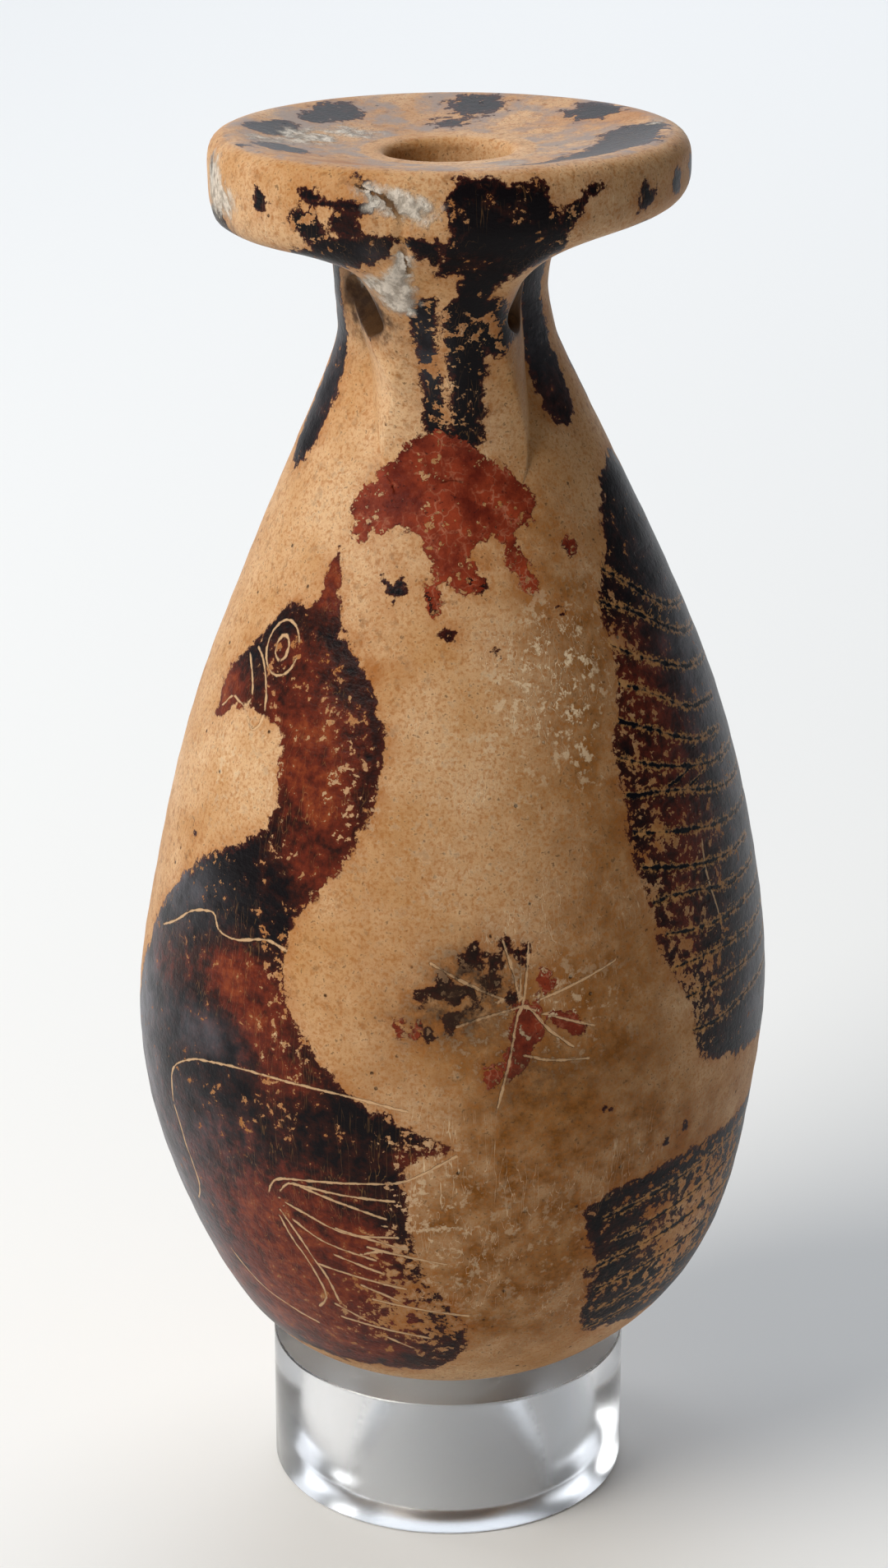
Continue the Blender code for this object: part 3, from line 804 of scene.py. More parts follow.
# %% Outlines of the red paint
RED_ORNAMENT = (
    (-37, 75.5), (-33, 77), (-28, 78), (-20, 79.7), (-12, 81), (-4, 81.3), (5, 80.7), (14, 79.2), (20, 78.6),
    (25, 77.6), (29.5, 76.3), (26, 75.3), (22, 75), (18, 74), (12, 74.5), (5, 73.8), (3, 72.8), (0, 72.3),
    (-5, 72.1), (-8, 73.5), (-15, 75), (-25, 74.6), (-33, 75.2),
)
RED_CRUMBS = (
    ((-1, 72.6), (4, 73), (8, 72.5), (7, 71.5), (2, 71.3), (-2, 71.7)),
    ((16, 73.8), (20, 73.8), (22, 72.8), (24.5, 71.5), (21, 71.2), (18, 72.2), (15, 73)),
    ((-33.5, 74.7), (-30, 74.8), (-27, 74.3), (-30, 73.8), (-33, 74)),
    ((-8, 71.5), (-5, 71.7), (-4, 70.6), (-6.5, 69.9)),
    ((36, 74.2), (38.5, 74.3), (40, 73.2), (37, 72.9)),
    ((10, 45), (12.5, 45.5), (15, 44.9), (15.4, 43.2), (13.5, 41.8), (11, 40.9), (9.6, 42), (9.8, 43.5)),
    ((17, 44.6), (20, 44.5), (23.5, 43.3), (22.5, 42.6), (20, 43), (17.5, 43.6)),
    ((14, 47.2), (16, 47.4), (17.5, 46.4), (15.5, 46)),
    ((5, 41), (7, 41.3), (8, 40.3), (6, 39.8)),
    ((-11.4, 44.1), (-9.4, 44.2), (-9.6, 43.3), (-11, 43.4)),
    ((-7.6, 44), (-6.4, 44), (-6.6, 43.3), (-7.6, 43.4)),
    ((8.5, 42.3), (11, 42.5), (12, 41), (10, 40.2), (8.6, 41)),
)
red_outlines = [RED_ORNAMENT, *RED_CRUMBS]
print(len(slip_outlines), "areas of slip,", len(red_outlines), "of red")

# %% [markdown]
# ## The incised lines
#
# Details were cut through the slip with a sharp point before firing, so they show pale clay: the
# eye, the hooked curls by the beak, long arcs over the body, and short strokes across the wing
# and the tail. Each is an open line of a few points. The mesh keeps, at each of its points, the
# way to the nearest line as two numbers, and the material draws a fine line where that way is
# short. Halfway between two lines the way also passes through 0, so the plain distance is kept
# as well, and rules those places out. Lines that run close together go into separate layers,
# so that within one layer they lie further apart than the mesh is coarse. On the wing the
# strokes have filled with dark dirt, so they get a layer and a colour of their own.

# %% The incised lines
CUTS = [
    ((-60.5, 65.2), (-58, 64.5), (-55.5, 63.6), (-54.2, 62.8)),
    ((-54.2, 62.8), (-55.5, 62.1), (-58.5, 62.1), (-62, 62.2), (-65.5, 61.2)),
    ((-57.5, 65.8), (-54.5, 65.3), (-51.5, 64.3), (-49.5, 63.2), (-48.7, 62.2)),
    ((-48.7, 62.2), (-49.6, 61.2), (-51.6, 60.9), (-53.8, 61.4)),
    ((-71, 45), (-65, 46.2), (-60, 47.5), (-55, 48.2), (-52, 48.3), (-50, 47.4), (-45, 47.3), (-38, 48),
     (-33, 47.7)),
    ((-61.5, 33), (-61.3, 35), (-59.5, 36.3), (-55, 37.4), (-50, 38.1), (-38, 38.8), (-20, 38.7), (-8, 38)),
    ((-61.5, 33), (-60, 31.5), (-58.5, 29), (-58, 27.5), (-59, 26.5), (-61.5, 25.4)),
    ((-35.5, 29.8), (-33, 31.1), (-25, 31.7), (-15, 32.2), (-8, 32.7), (1, 34.8)),
    ((-33, 30), (-31, 30.9), (-28, 31.1), (-20, 31), (-10, 31)),
    ((-28, 31), (-20, 30.3), (-12, 29.5)),
    ((-32, 29.3), (-28, 28.8), (-20, 27.8), (-10, 28)),
    ((-31, 28), (-25, 26.7), (-15, 25.8)),
    ((-34, 28), (-32, 26), (-30, 24.7), (-28.2, 22.5), (-28.2, 21.3), (-31, 20.1)),
    ((-33.5, 28.5), (-31, 27), (-28.5, 25), (-26.5, 23.5), (-25, 21)),
    ((-55, 22.3), (-48, 20), (-40, 19), (-33, 18.3)),
    ((0, 44), (5, 44.6), (11.5, 45.2), (21, 46.2), (30, 47.3)),
    ((11.5, 45.2), (18, 44.2), (25, 43.2)),
    ((8, 49.8), (10, 47.5), (11.5, 45.2), (12.5, 47.5), (13, 49.5)),
    ((7.5, 38), (9.5, 41.6), (11.5, 45.2), (16.5, 43.4), (21, 42)),
    ((-5, 48.2), (3, 46.6), (11.5, 45.2)),
    ((12, 41.8), (17, 41.3), (24, 41)),
    ((56, 53), (55.5, 51), (58, 47.5)),
]
EYE = (-48.5, 66.4)
# Half widths and half heights of its two rings, in mm.
EYE_RINGS = ((1.55, 1.75), (0.62, 0.8))
MM_TO_DEGREES_AT_EYE = math.degrees(1.0 / float(turned_radius(EYE[1] - BOTTOM)))
for half_wide, half_tall in EYE_RINGS:
    ring = []
    for turn in np.linspace(0.3, 2.0 * math.pi, 12):
        aside = half_wide * MM_TO_DEGREES_AT_EYE * math.cos(turn)
        ring.append((EYE[0] + aside, EYE[1] + half_tall * math.sin(turn)))
    CUTS.append(ring)
ON_THE_TWIN = (4, 5, 6, 7, 8, 12, len(CUTS) - 2, len(CUTS) - 1)

# Feathers of the tail: how many, the highest one's height, and the step down to the next.
TAIL_FEATHERS = 9
FEATHER_TOP, FEATHER_STEP = 27.6, 1.2
for feather in range(TAIL_FEATHERS):
    height = FEATHER_TOP - FEATHER_STEP * feather
    start = -22.0 + 6.0 * math.sin(1.7 * feather)
    reach = 13.0 + 7.0 * math.sin(2.9 * feather)
    CUTS.append(((start, height + 0.5), (start + reach * 0.5, height), (start + reach, height - 0.55)))
for cut in ON_THE_TWIN:
    CUTS.append([(TWIN_AZIMUTH - azimuth, height) for azimuth, height in CUTS[cut]])

RIM_CRACK = ((-23, 98.8), (-16, 98.2), (-12, 97.2), (-10.5, 95.6), (-10.5, 94.2), (-9.5, 93))
BARS = [RIM_CRACK]
WING_STROKES = 14
WING_STROKE_TOP, WING_STROKE_STEP = 72.2, 2.42
for stroke in range(WING_STROKES):
    height = WING_STROKE_TOP - WING_STROKE_STEP * stroke
    start = 43.0 - 6.0 * math.sin(math.pi * min(stroke, 10) / 11.0) + 0.9 * max(0, stroke - 9)
    fall = 4.6 - 0.36 * stroke
    sag = 0.3 * math.sin(2.3 * stroke)
    reach = 46.0 + 8.0 * math.sin(1.3 * stroke)
    BARS.append(((start, height), (start + reach * 0.25, height - fall * 0.42 + sag),
                 (start + reach * 0.6, height - fall), (start + reach, height - fall * 1.25)))
TAIL_BARS = 6
TAIL_BAR_TOP, TAIL_BAR_STEP = 29.2, 2.1
for bar in range(TAIL_BARS):
    height = TAIL_BAR_TOP - TAIL_BAR_STEP * bar
    start = 30.0 + 3.0 * math.sin(2.1 * bar)
    BARS.append(((start, height - 0.9), (start + 15.0, height), (start + 32.0, height + 0.5),
                 (start + 50.0, height + 0.2)))

CUT_LAYERS = ("cuts_a", "cuts_b", "cuts_c")
BAR_LAYER = "bars"
LAYER_GAP_MM = 2.2


def gap(one, other):
    """Least distance in mm between the points of two smoothed lines."""
    scale = np.array([math.radians(1.0) * float(turned_radius(one[:, 1].mean() - BOTTOM)), 1.0])
    apart = (one[:, None, :] - other[None, :, :]) * scale
    return float(np.hypot(apart[..., 0], apart[..., 1]).min())


layers = {name: [] for name in CUT_LAYERS}
for cut in sorted((smoothed(cut, closed=False) for cut in CUTS), key=len, reverse=True):
    room = {name: min([gap(cut, other) for other in lines] + [99.0]) for name, lines in layers.items()}
    free = [name for name in CUT_LAYERS if room[name] > LAYER_GAP_MM]
    layers[free[0] if free else max(room, key=room.get)].append(cut)
layers[BAR_LAYER] = [smoothed(bar, closed=False) for bar in BARS]
print({name: len(lines) for name, lines in layers.items()}, "incised lines")

# %% [markdown]
# ## Tones, stains and crust
#
# The slip fired unevenly, from blue-black to a warm red-brown, and the clay is stained in
# places. A whitish crust from the ground clings to the disc's left end and to the lug. Painted
# light is laid on in the same way: a blue-grey sheen on the slip along the flask's left and right
# edges, and painted shade on the right-hand side, below the belly, under the disc's edge and by
# the cord hole. These change slowly over the surface, so each is a sum of soft spots.

# %% Soft spots
# (azimuth, height, spread along in mm, spread up in mm, strength)
REDDER = (
    (-64, 62.0, 3.2, 2.4, 1.2), (-37, 70.8, 1.2, 2.4, 1.2), (-42, 45.0, 3.4, 2.0, 1.2),
    (-35, 41.6, 2.6, 2.6, 1.0), (-28, 39.0, 2.4, 1.6, 0.7), (-26, 25, 7.0, 6.5, 0.9),
    (-18, 20, 6.0, 5.0, 0.5), (-3, 34.6, 3.0, 1.4, 0.9),
    (-70, 43, 4.0, 1.6, 0.5), (-75, 31, 5.0, 6.0, 0.25), (-36, 62, 4.0, 4.0, 0.75), (-30, 56, 3.6, 4.0, 0.65),
    (-24, 52.5, 3.4, 2.0, 0.6), (-46, 66, 3.0, 2.0, 0.45), (44, 64, 4.0, 7.0, 0.55), (45, 50, 4.0, 8.0, 0.50),
    (56, 58, 5.0, 12.0, 0.30), (52, 42, 4.0, 3.0, 0.35), (52, 25, 8.0, 4.0, 0.85), (-62, 19, 9.0, 3.0, 0.45),
    (-40, 17, 10.0, 3.0, 0.45), (57, 82, 2.6, 1.6, 0.55), (-68, 80, 1.5, 2.0, 0.30),
    (-25, 95.8, 1.6, 0.8, 0.35), (15, 96.8, 3.0, 1.4, 0.15), (126, 60, 5.0, 8.0, 0.6),
    (120, 40, 8.0, 8.0, 0.5), (-45, 30, 11.0, 9.0, 0.45), (-28, 60, 5.0, 7.0, 0.40),
    (-35, 22, 9.0, 7.0, 0.45), (52, 54, 7.0, 15.0, 0.22), (-60, 44, 6.0, 4.0, 0.30),
)
# A blue-grey bloom of the slip, and painted sheen along the flask's left and right edges.
BLUE_BLOOM_AND_SHEEN = (
    (-70, 49, 5.0, 2.4, 0.9), (-52, 40, 4.0, 1.6, 0.5), (-78, 38, 4.0, 7.0, 0.7), (-74, 24, 6.0, 7.0, 0.8),
    (74, 62, 4.0, 9.0, 0.55), (78, 48, 4.0, 12.0, 0.7), (74, 40, 4.0, 4.0, 0.5), (60, 86, 4.0, 5.0, 0.35),
    (-75, 86, 4.0, 6.0, 0.30), (-5, 87, 1.4, 3.0, 0.30), (-17, 94, 1.6, 1.0, 0.2), (-88, 30, 7.0, 12.0, 0.7),
    (-50, 32, 5.0, 4.0, 0.3),
)
WORN = (
    (0, 29, 3.0, 9.0, 0.75), (-6, 24, 4.0, 6.0, 0.75), (-16, 20, 5.0, 4.0, 0.5), (48, 24, 6.0, 6.0, 0.8),
    (66, 26, 6.0, 5.0, 0.65), (8, 86, 4.0, 6.0, 0.12), (-6, 86, 2.6, 6.0, 0.5), (-1.0, 87, 0.7, 7.0, 0.5),
    (-45, 65.0, 4.0, 2.6, 0.4), (-30, 63, 3.0, 3.0, 0.3), (-22, 58, 2.0, 6.0, 0.38), (-36, 54, 4.0, 3.0, 0.3),
    (40, 56, 3.0, 12.0, 0.62), (46, 42, 4.0, 4.0, 0.7), (54, 50, 5.0, 12.0, 0.35), (44, 70, 3.0, 4.0, 0.6),
    (-34, 96, 3.0, 1.6, 0.7), (12, 96.5, 5.0, 1.8, 0.25), (-8, 36, 3.0, 1.6, 0.5), (-34, 46, 2.0, 4.0, 0.55),
    (-30, 40, 3.0, 3.0, 0.45), (-44, 36, 8.0, 2.0, 0.35), (140, 50, 14.0, 16.0, 0.4),
    (-70, 46, 6.0, 2.0, 0.3), (226, 50, 8.0, 24.0, 0.55), (18, 88.5, 2.4, 2.0, 0.6),
    (-55, 51, 3.0, 1.6, 0.4), (30, 96.6, 2.6, 1.6, 0.35), (3, 47.0, 3.4, 2.6, 0.55),
)
# Clay toasted in the firing, together with painted shade on the right-hand side and below the belly.
TOASTED_AND_SHADED = (
    (31, 56, 5.0, 16.0, 0.75), (27, 30, 7.0, 12.0, 0.9), (12, 28, 8.0, 9.0, 0.9), (40, 68, 5.0, 6.0, 0.6),
    (2, 24, 6.0, 6.0, 0.8), (28, 76, 4.0, 3.0, 0.4), (50, 33, 6.0, 3.0, 0.7), (12, 43, 7.0, 6.0, 0.6),
    (-14, 40, 3.0, 3.0, 0.2), (160, 60, 12.0, 16.0, 0.4), (230, 40, 10.0, 14.0, 0.4), (45, 84, 3.0, 4.0, 0.5),
    (26, 88, 2.0, 4.0, 0.5), (50, 96, 8.0, 2.0, 0.5), (-2, 54, 8.0, 9.0, 0.20), (-48, 92, 2.5, 2.0, 0.5),
    (14, 36, 8.0, 7.0, 0.25),
)
STAINS = (
    (-24, 66, 3.0, 2.6, 0.8), (8, 73.5, 6.0, 2.0, 0.5), (24, 71, 5.0, 6.0, 0.2), (30, 62, 3.0, 10.0, 0.45),
    (10, 45, 7.0, 5.0, 0.55), (-42, 68, 3.0, 2.6, 0.5), (-20, 60, 2.4, 6.0, 0.5), (10, 34, 8.0, 7.0, 0.35),
    (32, 44, 4.0, 9.0, 0.45), (-15, 47, 6.0, 8.0, 0.25), (60, 34, 8.0, 3.0, 0.5), (180, 40, 14.0, 14.0, 0.4),
    (226, 58, 8.0, 16.0, 0.3), (-24, 88.5, 1.6, 2.4, 0.6), (20, 26, 5.0, 8.0, 0.4), (40, 88, 2.0, 3.0, 0.3),
)
SCUFFS = (
    (14, 63, 6.0, 5.0, 0.4), (22, 66, 4.0, 3.0, 0.4), (0, 52, 6.0, 6.0, 0.2), (8, 45, 6.0, 4.0, 0.4),
    (20, 44, 5.0, 3.0, 0.35), (29, 68, 3.0, 3.0, 0.6), (29, 62, 2.0, 4.0, 0.5), (-4, 30, 3.0, 8.0, 0.5),
    (14, 27, 5.0, 6.0, 0.3), (-30, 58, 8.0, 4.0, 0.3), (-40, 76, 5.0, 4.0, 0.25), (-60, 58, 4.0, 4.0, 0.4),
)
CRUSTS = (
    (-75, 96.2, 3.0, 2.0, 0.85), (-64, 95.6, 2.0, 1.0, 0.4), (-12, 97.6, 2.0, 0.9, 0.75),
    (-5, 97, 1.2, 1.0, 0.5), (-11, 93.8, 0.7, 1.2, 0.8), (-14, 91.6, 1.4, 1.5, 0.95),
    (-10, 90.4, 1.0, 0.9, 0.5), (-46, 90.2, 1.2, 1.2, 0.4), (-22, 91.8, 0.8, 0.6, 0.6),
    (205, 96, 4.0, 1.4, 0.6), (-18, 98.4, 1.6, 0.7, 0.4),
)
# Grime on the belly, and painted shade under the disc's edge, at the cord hole's mouths and in the creases
# beside the strap.
GRIME_AND_SHADE_SPOTS = (
    (-20, 89, 1.6, 1.8, 1.0), (-52, 89, 2.2, 2.6, 0.8), (-45, 87, 1.6, 1.2, 0.5), (-17, 95, 0.9, 1.4, 0.35),
    (3, 47.4, 3.0, 2.2, 0.95), (-1, 44.4, 4.0, 2.2, 0.8), (30, 89, 1.4, 2.0, 0.9), (-60, 92.5, 4.0, 0.9, 0.5),
    (-72, 93.8, 3.0, 0.9, 0.8), (26, 40, 4.0, 3.0, 0.2), (12, 40.5, 3.0, 2.6, 0.55),
)
# The same on the disc's top, as (x, y, spread, strength) in mm.
TOP_SLIP = (
    (-12.0, 2.6, 1.5, 0.9), (-11.0, 4.6, 1.2, 0.7), (-10.8, -3.4, 1.7, 0.9), (-9.1, 7.3, 0.8, 0.9),
    (-7.6, 9.4, 2.0, 0.8), (11.4, -3.3, 2.6, 0.8), (8.6, -6.9, 2.2, 0.8), (12.3, 0.8, 2.2, 0.8),
    (5.0, -9.4, 1.8, 0.6), (9.8, 8.0, 2.6, 0.6), (2.0, 12.0, 2.4, 0.6), (-4.0, -10.0, 1.2, 0.4),
    (0.0, 8.0, 2.0, 0.4), (-13.5, -5.5, 0.9, 0.5),
)
TOP_RED = (
    (-8.3, -6.6, 2.6, 0.9), (-6.0, -8.6, 1.8, 0.7), (12.0, 5.3, 2.0, 0.6), (-9.0, 0.5, 1.2, 0.3),
    (6.0, 6.5, 3.0, 0.35),
)
TOP_CRUST = (
    (-9.6, 2.2, 2.0, 0.8), (-12.4, -1.0, 1.6, 0.5), (13.8, 2.2, 1.2, 0.4), (-6.5, 5.0, 2.4, 0.5),
    (4.0, -6.5, 2.0, 0.3),
)

# %% Lay it all on the mesh
def keep(mesh, name, *values):
    """Store three numbers at each point of the mesh, for the material to read."""
    layer = mesh.attributes.new(name, 'FLOAT_VECTOR', 'POINT')
    layer.data.foreach_set("vector", np.stack(values, axis=1).astype(np.float32).ravel())


slip = np.full(len(skin.azimuth), -FAR_MM)
red = np.full(len(skin.azimuth), -FAR_MM)
for outlines, field in ((slip_outlines, slip), (red_outlines, red)):
    for outline in outlines:
        chosen, depth = skin.depth_inside(smoothed(outline, closed=True), reach=2.5)
        field[chosen] = np.maximum(field[chosen], depth)
TOP_SLIP_LEVEL = 0.34
on_top = skin.top_spots(TOP_SLIP)
slip[skin.top] = (on_top[skin.top] - TOP_SLIP_LEVEL) * 2.5

for layer_name, lines in layers.items():
    way = np.full((len(skin.azimuth), 2), FAR_MM)
    for line in lines:
        chosen, here = skin.offset(line, reach=1.6)
        closer = (here ** 2).sum(axis=1) < (way[chosen] ** 2).sum(axis=1)
        way[chosen[closer]] = here[closer]
    keep(flask_mesh, layer_name, way[:, 0], way[:, 1], np.hypot(*way.T))
# Painted shade: the hollow's colour darkens over this height below the lip.
HOLLOW_FADE_MM = 2.5
lip_level = HEIGHT - DISH_DEPTH - LIP_ROUNDING
below_lip = np.clip((lip_level - (skin.height - BOTTOM)) / HOLLOW_FADE_MM, 0.0, 1.0)
hollow_shade = np.where(skin.outside, 0.0, below_lip)
# Painted shade on the walls of the cord hole, from how near each point is to the hole's path.
HOLE_HALF_LENGTH = 8.0
path_x, *path_rest = zip(*HOLE_RINGS)
hole_y, hole_z, hole_deep, hole_tall = [np.interp(skin.points[:, 0], path_x, line) for line in path_rest]
off_path = np.hypot((skin.points[:, 1] - hole_y) / hole_deep, (skin.points[:, 2] - hole_z) / hole_tall)
in_hole = (1.0 - soft_step(off_path, 1.03, 1.16)) * (np.abs(skin.points[:, 0]) < HOLE_HALF_LENGTH)
hollow_shade = np.maximum(hollow_shade, in_hole)
keep(flask_mesh, "paint", slip, red, np.clip(skin.spots(WORN), 0.0, 1.0))
keep(flask_mesh, "tones", np.clip(skin.spots(REDDER), 0, 1), np.clip(skin.spots(BLUE_BLOOM_AND_SHEEN), 0, 1),
     np.clip(skin.spots(STAINS) + skin.top_spots(TOP_RED), 0, 1))
# The third number is grime together with painted shade.
keep(flask_mesh, "wear_and_shade", np.clip(skin.spots(SCUFFS), 0, 1),
     np.clip(skin.spots(CRUSTS) + skin.top_spots(TOP_CRUST), 0, 1.2),
     np.clip(skin.spots(GRIME_AND_SHADE_SPOTS), 0, 1))
# The zone carries the disc's top, painted shade in the hollow, and toasted clay with painted shade.
keep(flask_mesh, "zone", skin.top.astype(float), hollow_shade, np.clip(skin.spots(TOASTED_AND_SHADED), 0, 1))
print("painted:", int((slip > 0).sum()), "points in slip,", int((red > 0).sum()), "in red")

# %% [markdown]
# ## The painted clay
#
# Fired Corinthian clay is a fine buff earthenware: dense, smooth where it was burnished on the
# wheel, and matt where it is worn. The slip is a skin of finer clay, a few hundredths of a
# millimetre thick, with a satin sheen, and it has flaked along every edge. One material mixes
# them all, from the bare clay outwards, together with painted shade in the hollow, the cord
# hole, under the disc's edge and on the right-hand side, and a painted sheen on the slip at the
# edges. Its bump height is in millimetres: slip and red stand proud, incised lines and pits go in.

# %% Colours of the clay and its paint
CLAY_LIGHT, CLAY_DEEP, CLAY_STAIN = '#d1ab82', '#b4834e', '#9c5f26'
# The grime brown also paints shade; the toast brown is toasted clay and painted shade in one.
CLAY_PALE, CLAY_SPECK, GRIME_AND_SHADE_BROWN, TOAST_AND_SHADE_BROWN = '#e2c9a6', '#4a301a', '#35241a', '#77491a'
SLIP_BLACK, SLIP_BROWN, SLIP_RED = '#0f0b0e', '#2f1510', '#602517'
# The slip's blue-grey is partly its bloom and partly a painted sheen.
SLIP_ORANGE, SLIP_BLUE_AND_SHEEN = '#823c20', '#74747c'
RED_DEEP, RED_BRIGHT, RED_VEIN, HALO = '#5a1c10', '#943c22', '#b0785c', '#9a5a26'
CRUST_WHITE, CRUST_GREY, DISC_FILM = '#d8d0c4', '#96928a', '#8c8684'
# The hollow's dark brown is painted shade inside the mouth and the cord hole.
HOLLOW_SHADE_BROWN, BAR_DARK = '#5e432b', '#08080e'
CLAY_ROUGHNESS, SLIP_ROUGHNESS, CRUST_ROUGHNESS = 0.42, 0.27, 0.85
# Old clay is full of fine pores, so it throws back less of the light than glaze or glass would.
SPECULAR_LEVEL = 0.08


def painted_clay():
    """Burnished buff earthenware with worn dark slip, red paint, cuts, stains and crust, and painted shade
    and sheen.
    """
    material = bpy.data.materials.new("worn slip and red paint on burnished buff earthenware")
    material.use_nodes = True
    tree = material.node_tree
    shader = tree.nodes["Principled BSDF"]
    place = add_node(tree, "ShaderNodeTexCoord").outputs["Object"]

    # What the mesh carries.
    carried = {}
    for name in ("paint", "tones", "wear_and_shade", "zone"):
        three = add_node(tree, "ShaderNodeAttribute", attribute_name=name).outputs["Vector"]
        carried[name] = add_node(tree, "ShaderNodeSeparateXYZ", {0: three}).outputs
    slip_depth, red_depth, worn = carried["paint"]
    redder, bluer_and_sheen, stained = carried["tones"]
    scuffed, crusted, grimy_and_shaded = carried["wear_and_shade"]
    on_disc, hollow_shade_share, toasted_and_shaded = carried["zone"]

    # Patterns, each from a real size in mm.
    broad = add_node(tree, NOISE, {
        "Vector": place, "Scale": grain(8.0), "Detail": 4.0, "Roughness": 0.6}).outputs["Fac"]
    cloudy = add_node(tree, NOISE, {
        "Vector": place, "Scale": grain(2.2), "Detail": 6.0, "Roughness": 0.62}).outputs["Fac"]
    flake = add_node(tree, NOISE, {
        "Vector": place, "Scale": grain(0.75), "Detail": 5.0, "Roughness": 0.62}).outputs["Fac"]
    fine = add_node(tree, NOISE, {
        "Vector": place, "Scale": grain(0.28), "Detail": 3.0, "Roughness": 0.6}).outputs["Fac"]
    along = add_node(tree, "ShaderNodeMapping", {"Vector": place, "Scale": (0.22, 0.22, 1.9)}).outputs[0]
    wheel = add_node(tree, NOISE, {
        "Vector": along, "Scale": grain(1.0), "Detail": 4.0, "Roughness": 0.6}).outputs["Fac"]
    slanting = add_node(tree, "ShaderNodeMapping", {
        "Vector": place, "Rotation": (0.2, 0.9, 0.3), "Scale": (1.0, 1.0, 0.09)}).outputs[0]
    scratch = add_node(tree, NOISE, {
        "Vector": slanting, "Scale": grain(0.55), "Detail": 2.0, "Roughness": 0.5}).outputs["Fac"]
    pits = add_node(tree, "ShaderNodeTexVoronoi", {
        "Vector": place, "Scale": grain(1.25), "Randomness": 1.0}, feature='F1').outputs["Distance"]
    warp = add_node(tree, NOISE, {
        "Vector": place, "Scale": grain(0.7), "Detail": 2.0}).outputs["Color"]
    warped = add_node(tree, "ShaderNodeVectorMath", {
        0: warp, 1: (1.2 * MM, 1.2 * MM, 1.2 * MM), 2: place}, operation='MULTIPLY_ADD').outputs[0]
    cracks = add_node(tree, "ShaderNodeTexVoronoi", {
        "Vector": warped, "Scale": grain(1.1)}, feature='DISTANCE_TO_EDGE').outputs["Distance"]

    # Where slip and red still lie.
    ragged = add_node(tree, MATH, {0: flake, 1: 2.3, 2: -1.12}, operation='MULTIPLY_ADD').outputs[0]
    ragged = add_node(tree, MATH, {0: cloudy, 1: 1.3, 2: ragged}, operation='MULTIPLY_ADD').outputs[0]
    ragged = add_node(tree, MATH, {0: ragged, 1: 0.65}, operation='SUBTRACT').outputs[0]
    loss_noise = add_node(tree, MATH, {0: cloudy, 1: 0.45}, operation='MULTIPLY').outputs[0]
    loss_noise = add_node(tree, MATH, {0: flake, 1: 1.2, 2: loss_noise}, operation='MULTIPLY_ADD').outputs[0]
    loss_noise = add_node(tree, MATH, {0: wheel, 1: 0.10, 2: loss_noise}, operation='MULTIPLY_ADD').outputs[0]
    loss_noise = add_node(tree, MATH, {0: fine, 1: 0.40, 2: loss_noise}, operation='MULTIPLY_ADD').outputs[0]
    loss_limit = add_node(tree, RANGE, {
        "Value": worn, "From Min": 0.0, "From Max": 1.0, "To Min": 1.31, "To Max": 1.02}).outputs[0]
    loss = add_node(tree, MATH, {0: loss_noise, 1: loss_limit}, operation='SUBTRACT').outputs[0]
    kept = add_node(tree, RANGE, {
        "Value": loss, "From Min": -0.012, "From Max": 0.012, "To Min": 1.0, "To Max": 0.0}).outputs[0]
    slip_edge = add_node(tree, MATH, {0: slip_depth, 1: ragged}, operation='ADD').outputs[0]
    slip_laid = add_node(tree, RANGE, {
        "Value": slip_edge, "From Min": -0.05, "From Max": 0.08}).outputs[0]
    slip_on = add_node(tree, MATH, {0: slip_laid, 1: kept}, operation='MULTIPLY').outputs[0]
    red_edge = add_node(tree, MATH, {0: red_depth, 1: ragged}, operation='ADD').outputs[0]
    red_laid = add_node(tree, RANGE, {
        "Value": red_edge, "From Min": -0.04, "From Max": 0.06}).outputs[0]
    vein = add_node(tree, RANGE, {
        "Value": cracks, "From Min": 0.0, "From Max": 0.07, "To Min": 1.0, "To Max": 0.0}).outputs[0]
    vein_here = add_node(tree, RANGE, {
        "Value": cloudy, "From Min": 0.44, "From Max": 0.60, "To Min": 0.0, "To Max": 0.65}).outputs[0]
    vein = add_node(tree, MATH, {0: vein, 1: vein_here}, operation='MULTIPLY').outputs[0]
    red_kept = add_node(tree, RANGE, {
        "Value": loss_noise, "From Min": 1.21, "From Max": 1.23, "To Min": 1.0, "To Max": 0.0}).outputs[0]
    red_on = add_node(tree, MATH, {0: red_laid, 1: red_kept}, operation='MULTIPLY').outputs[0]

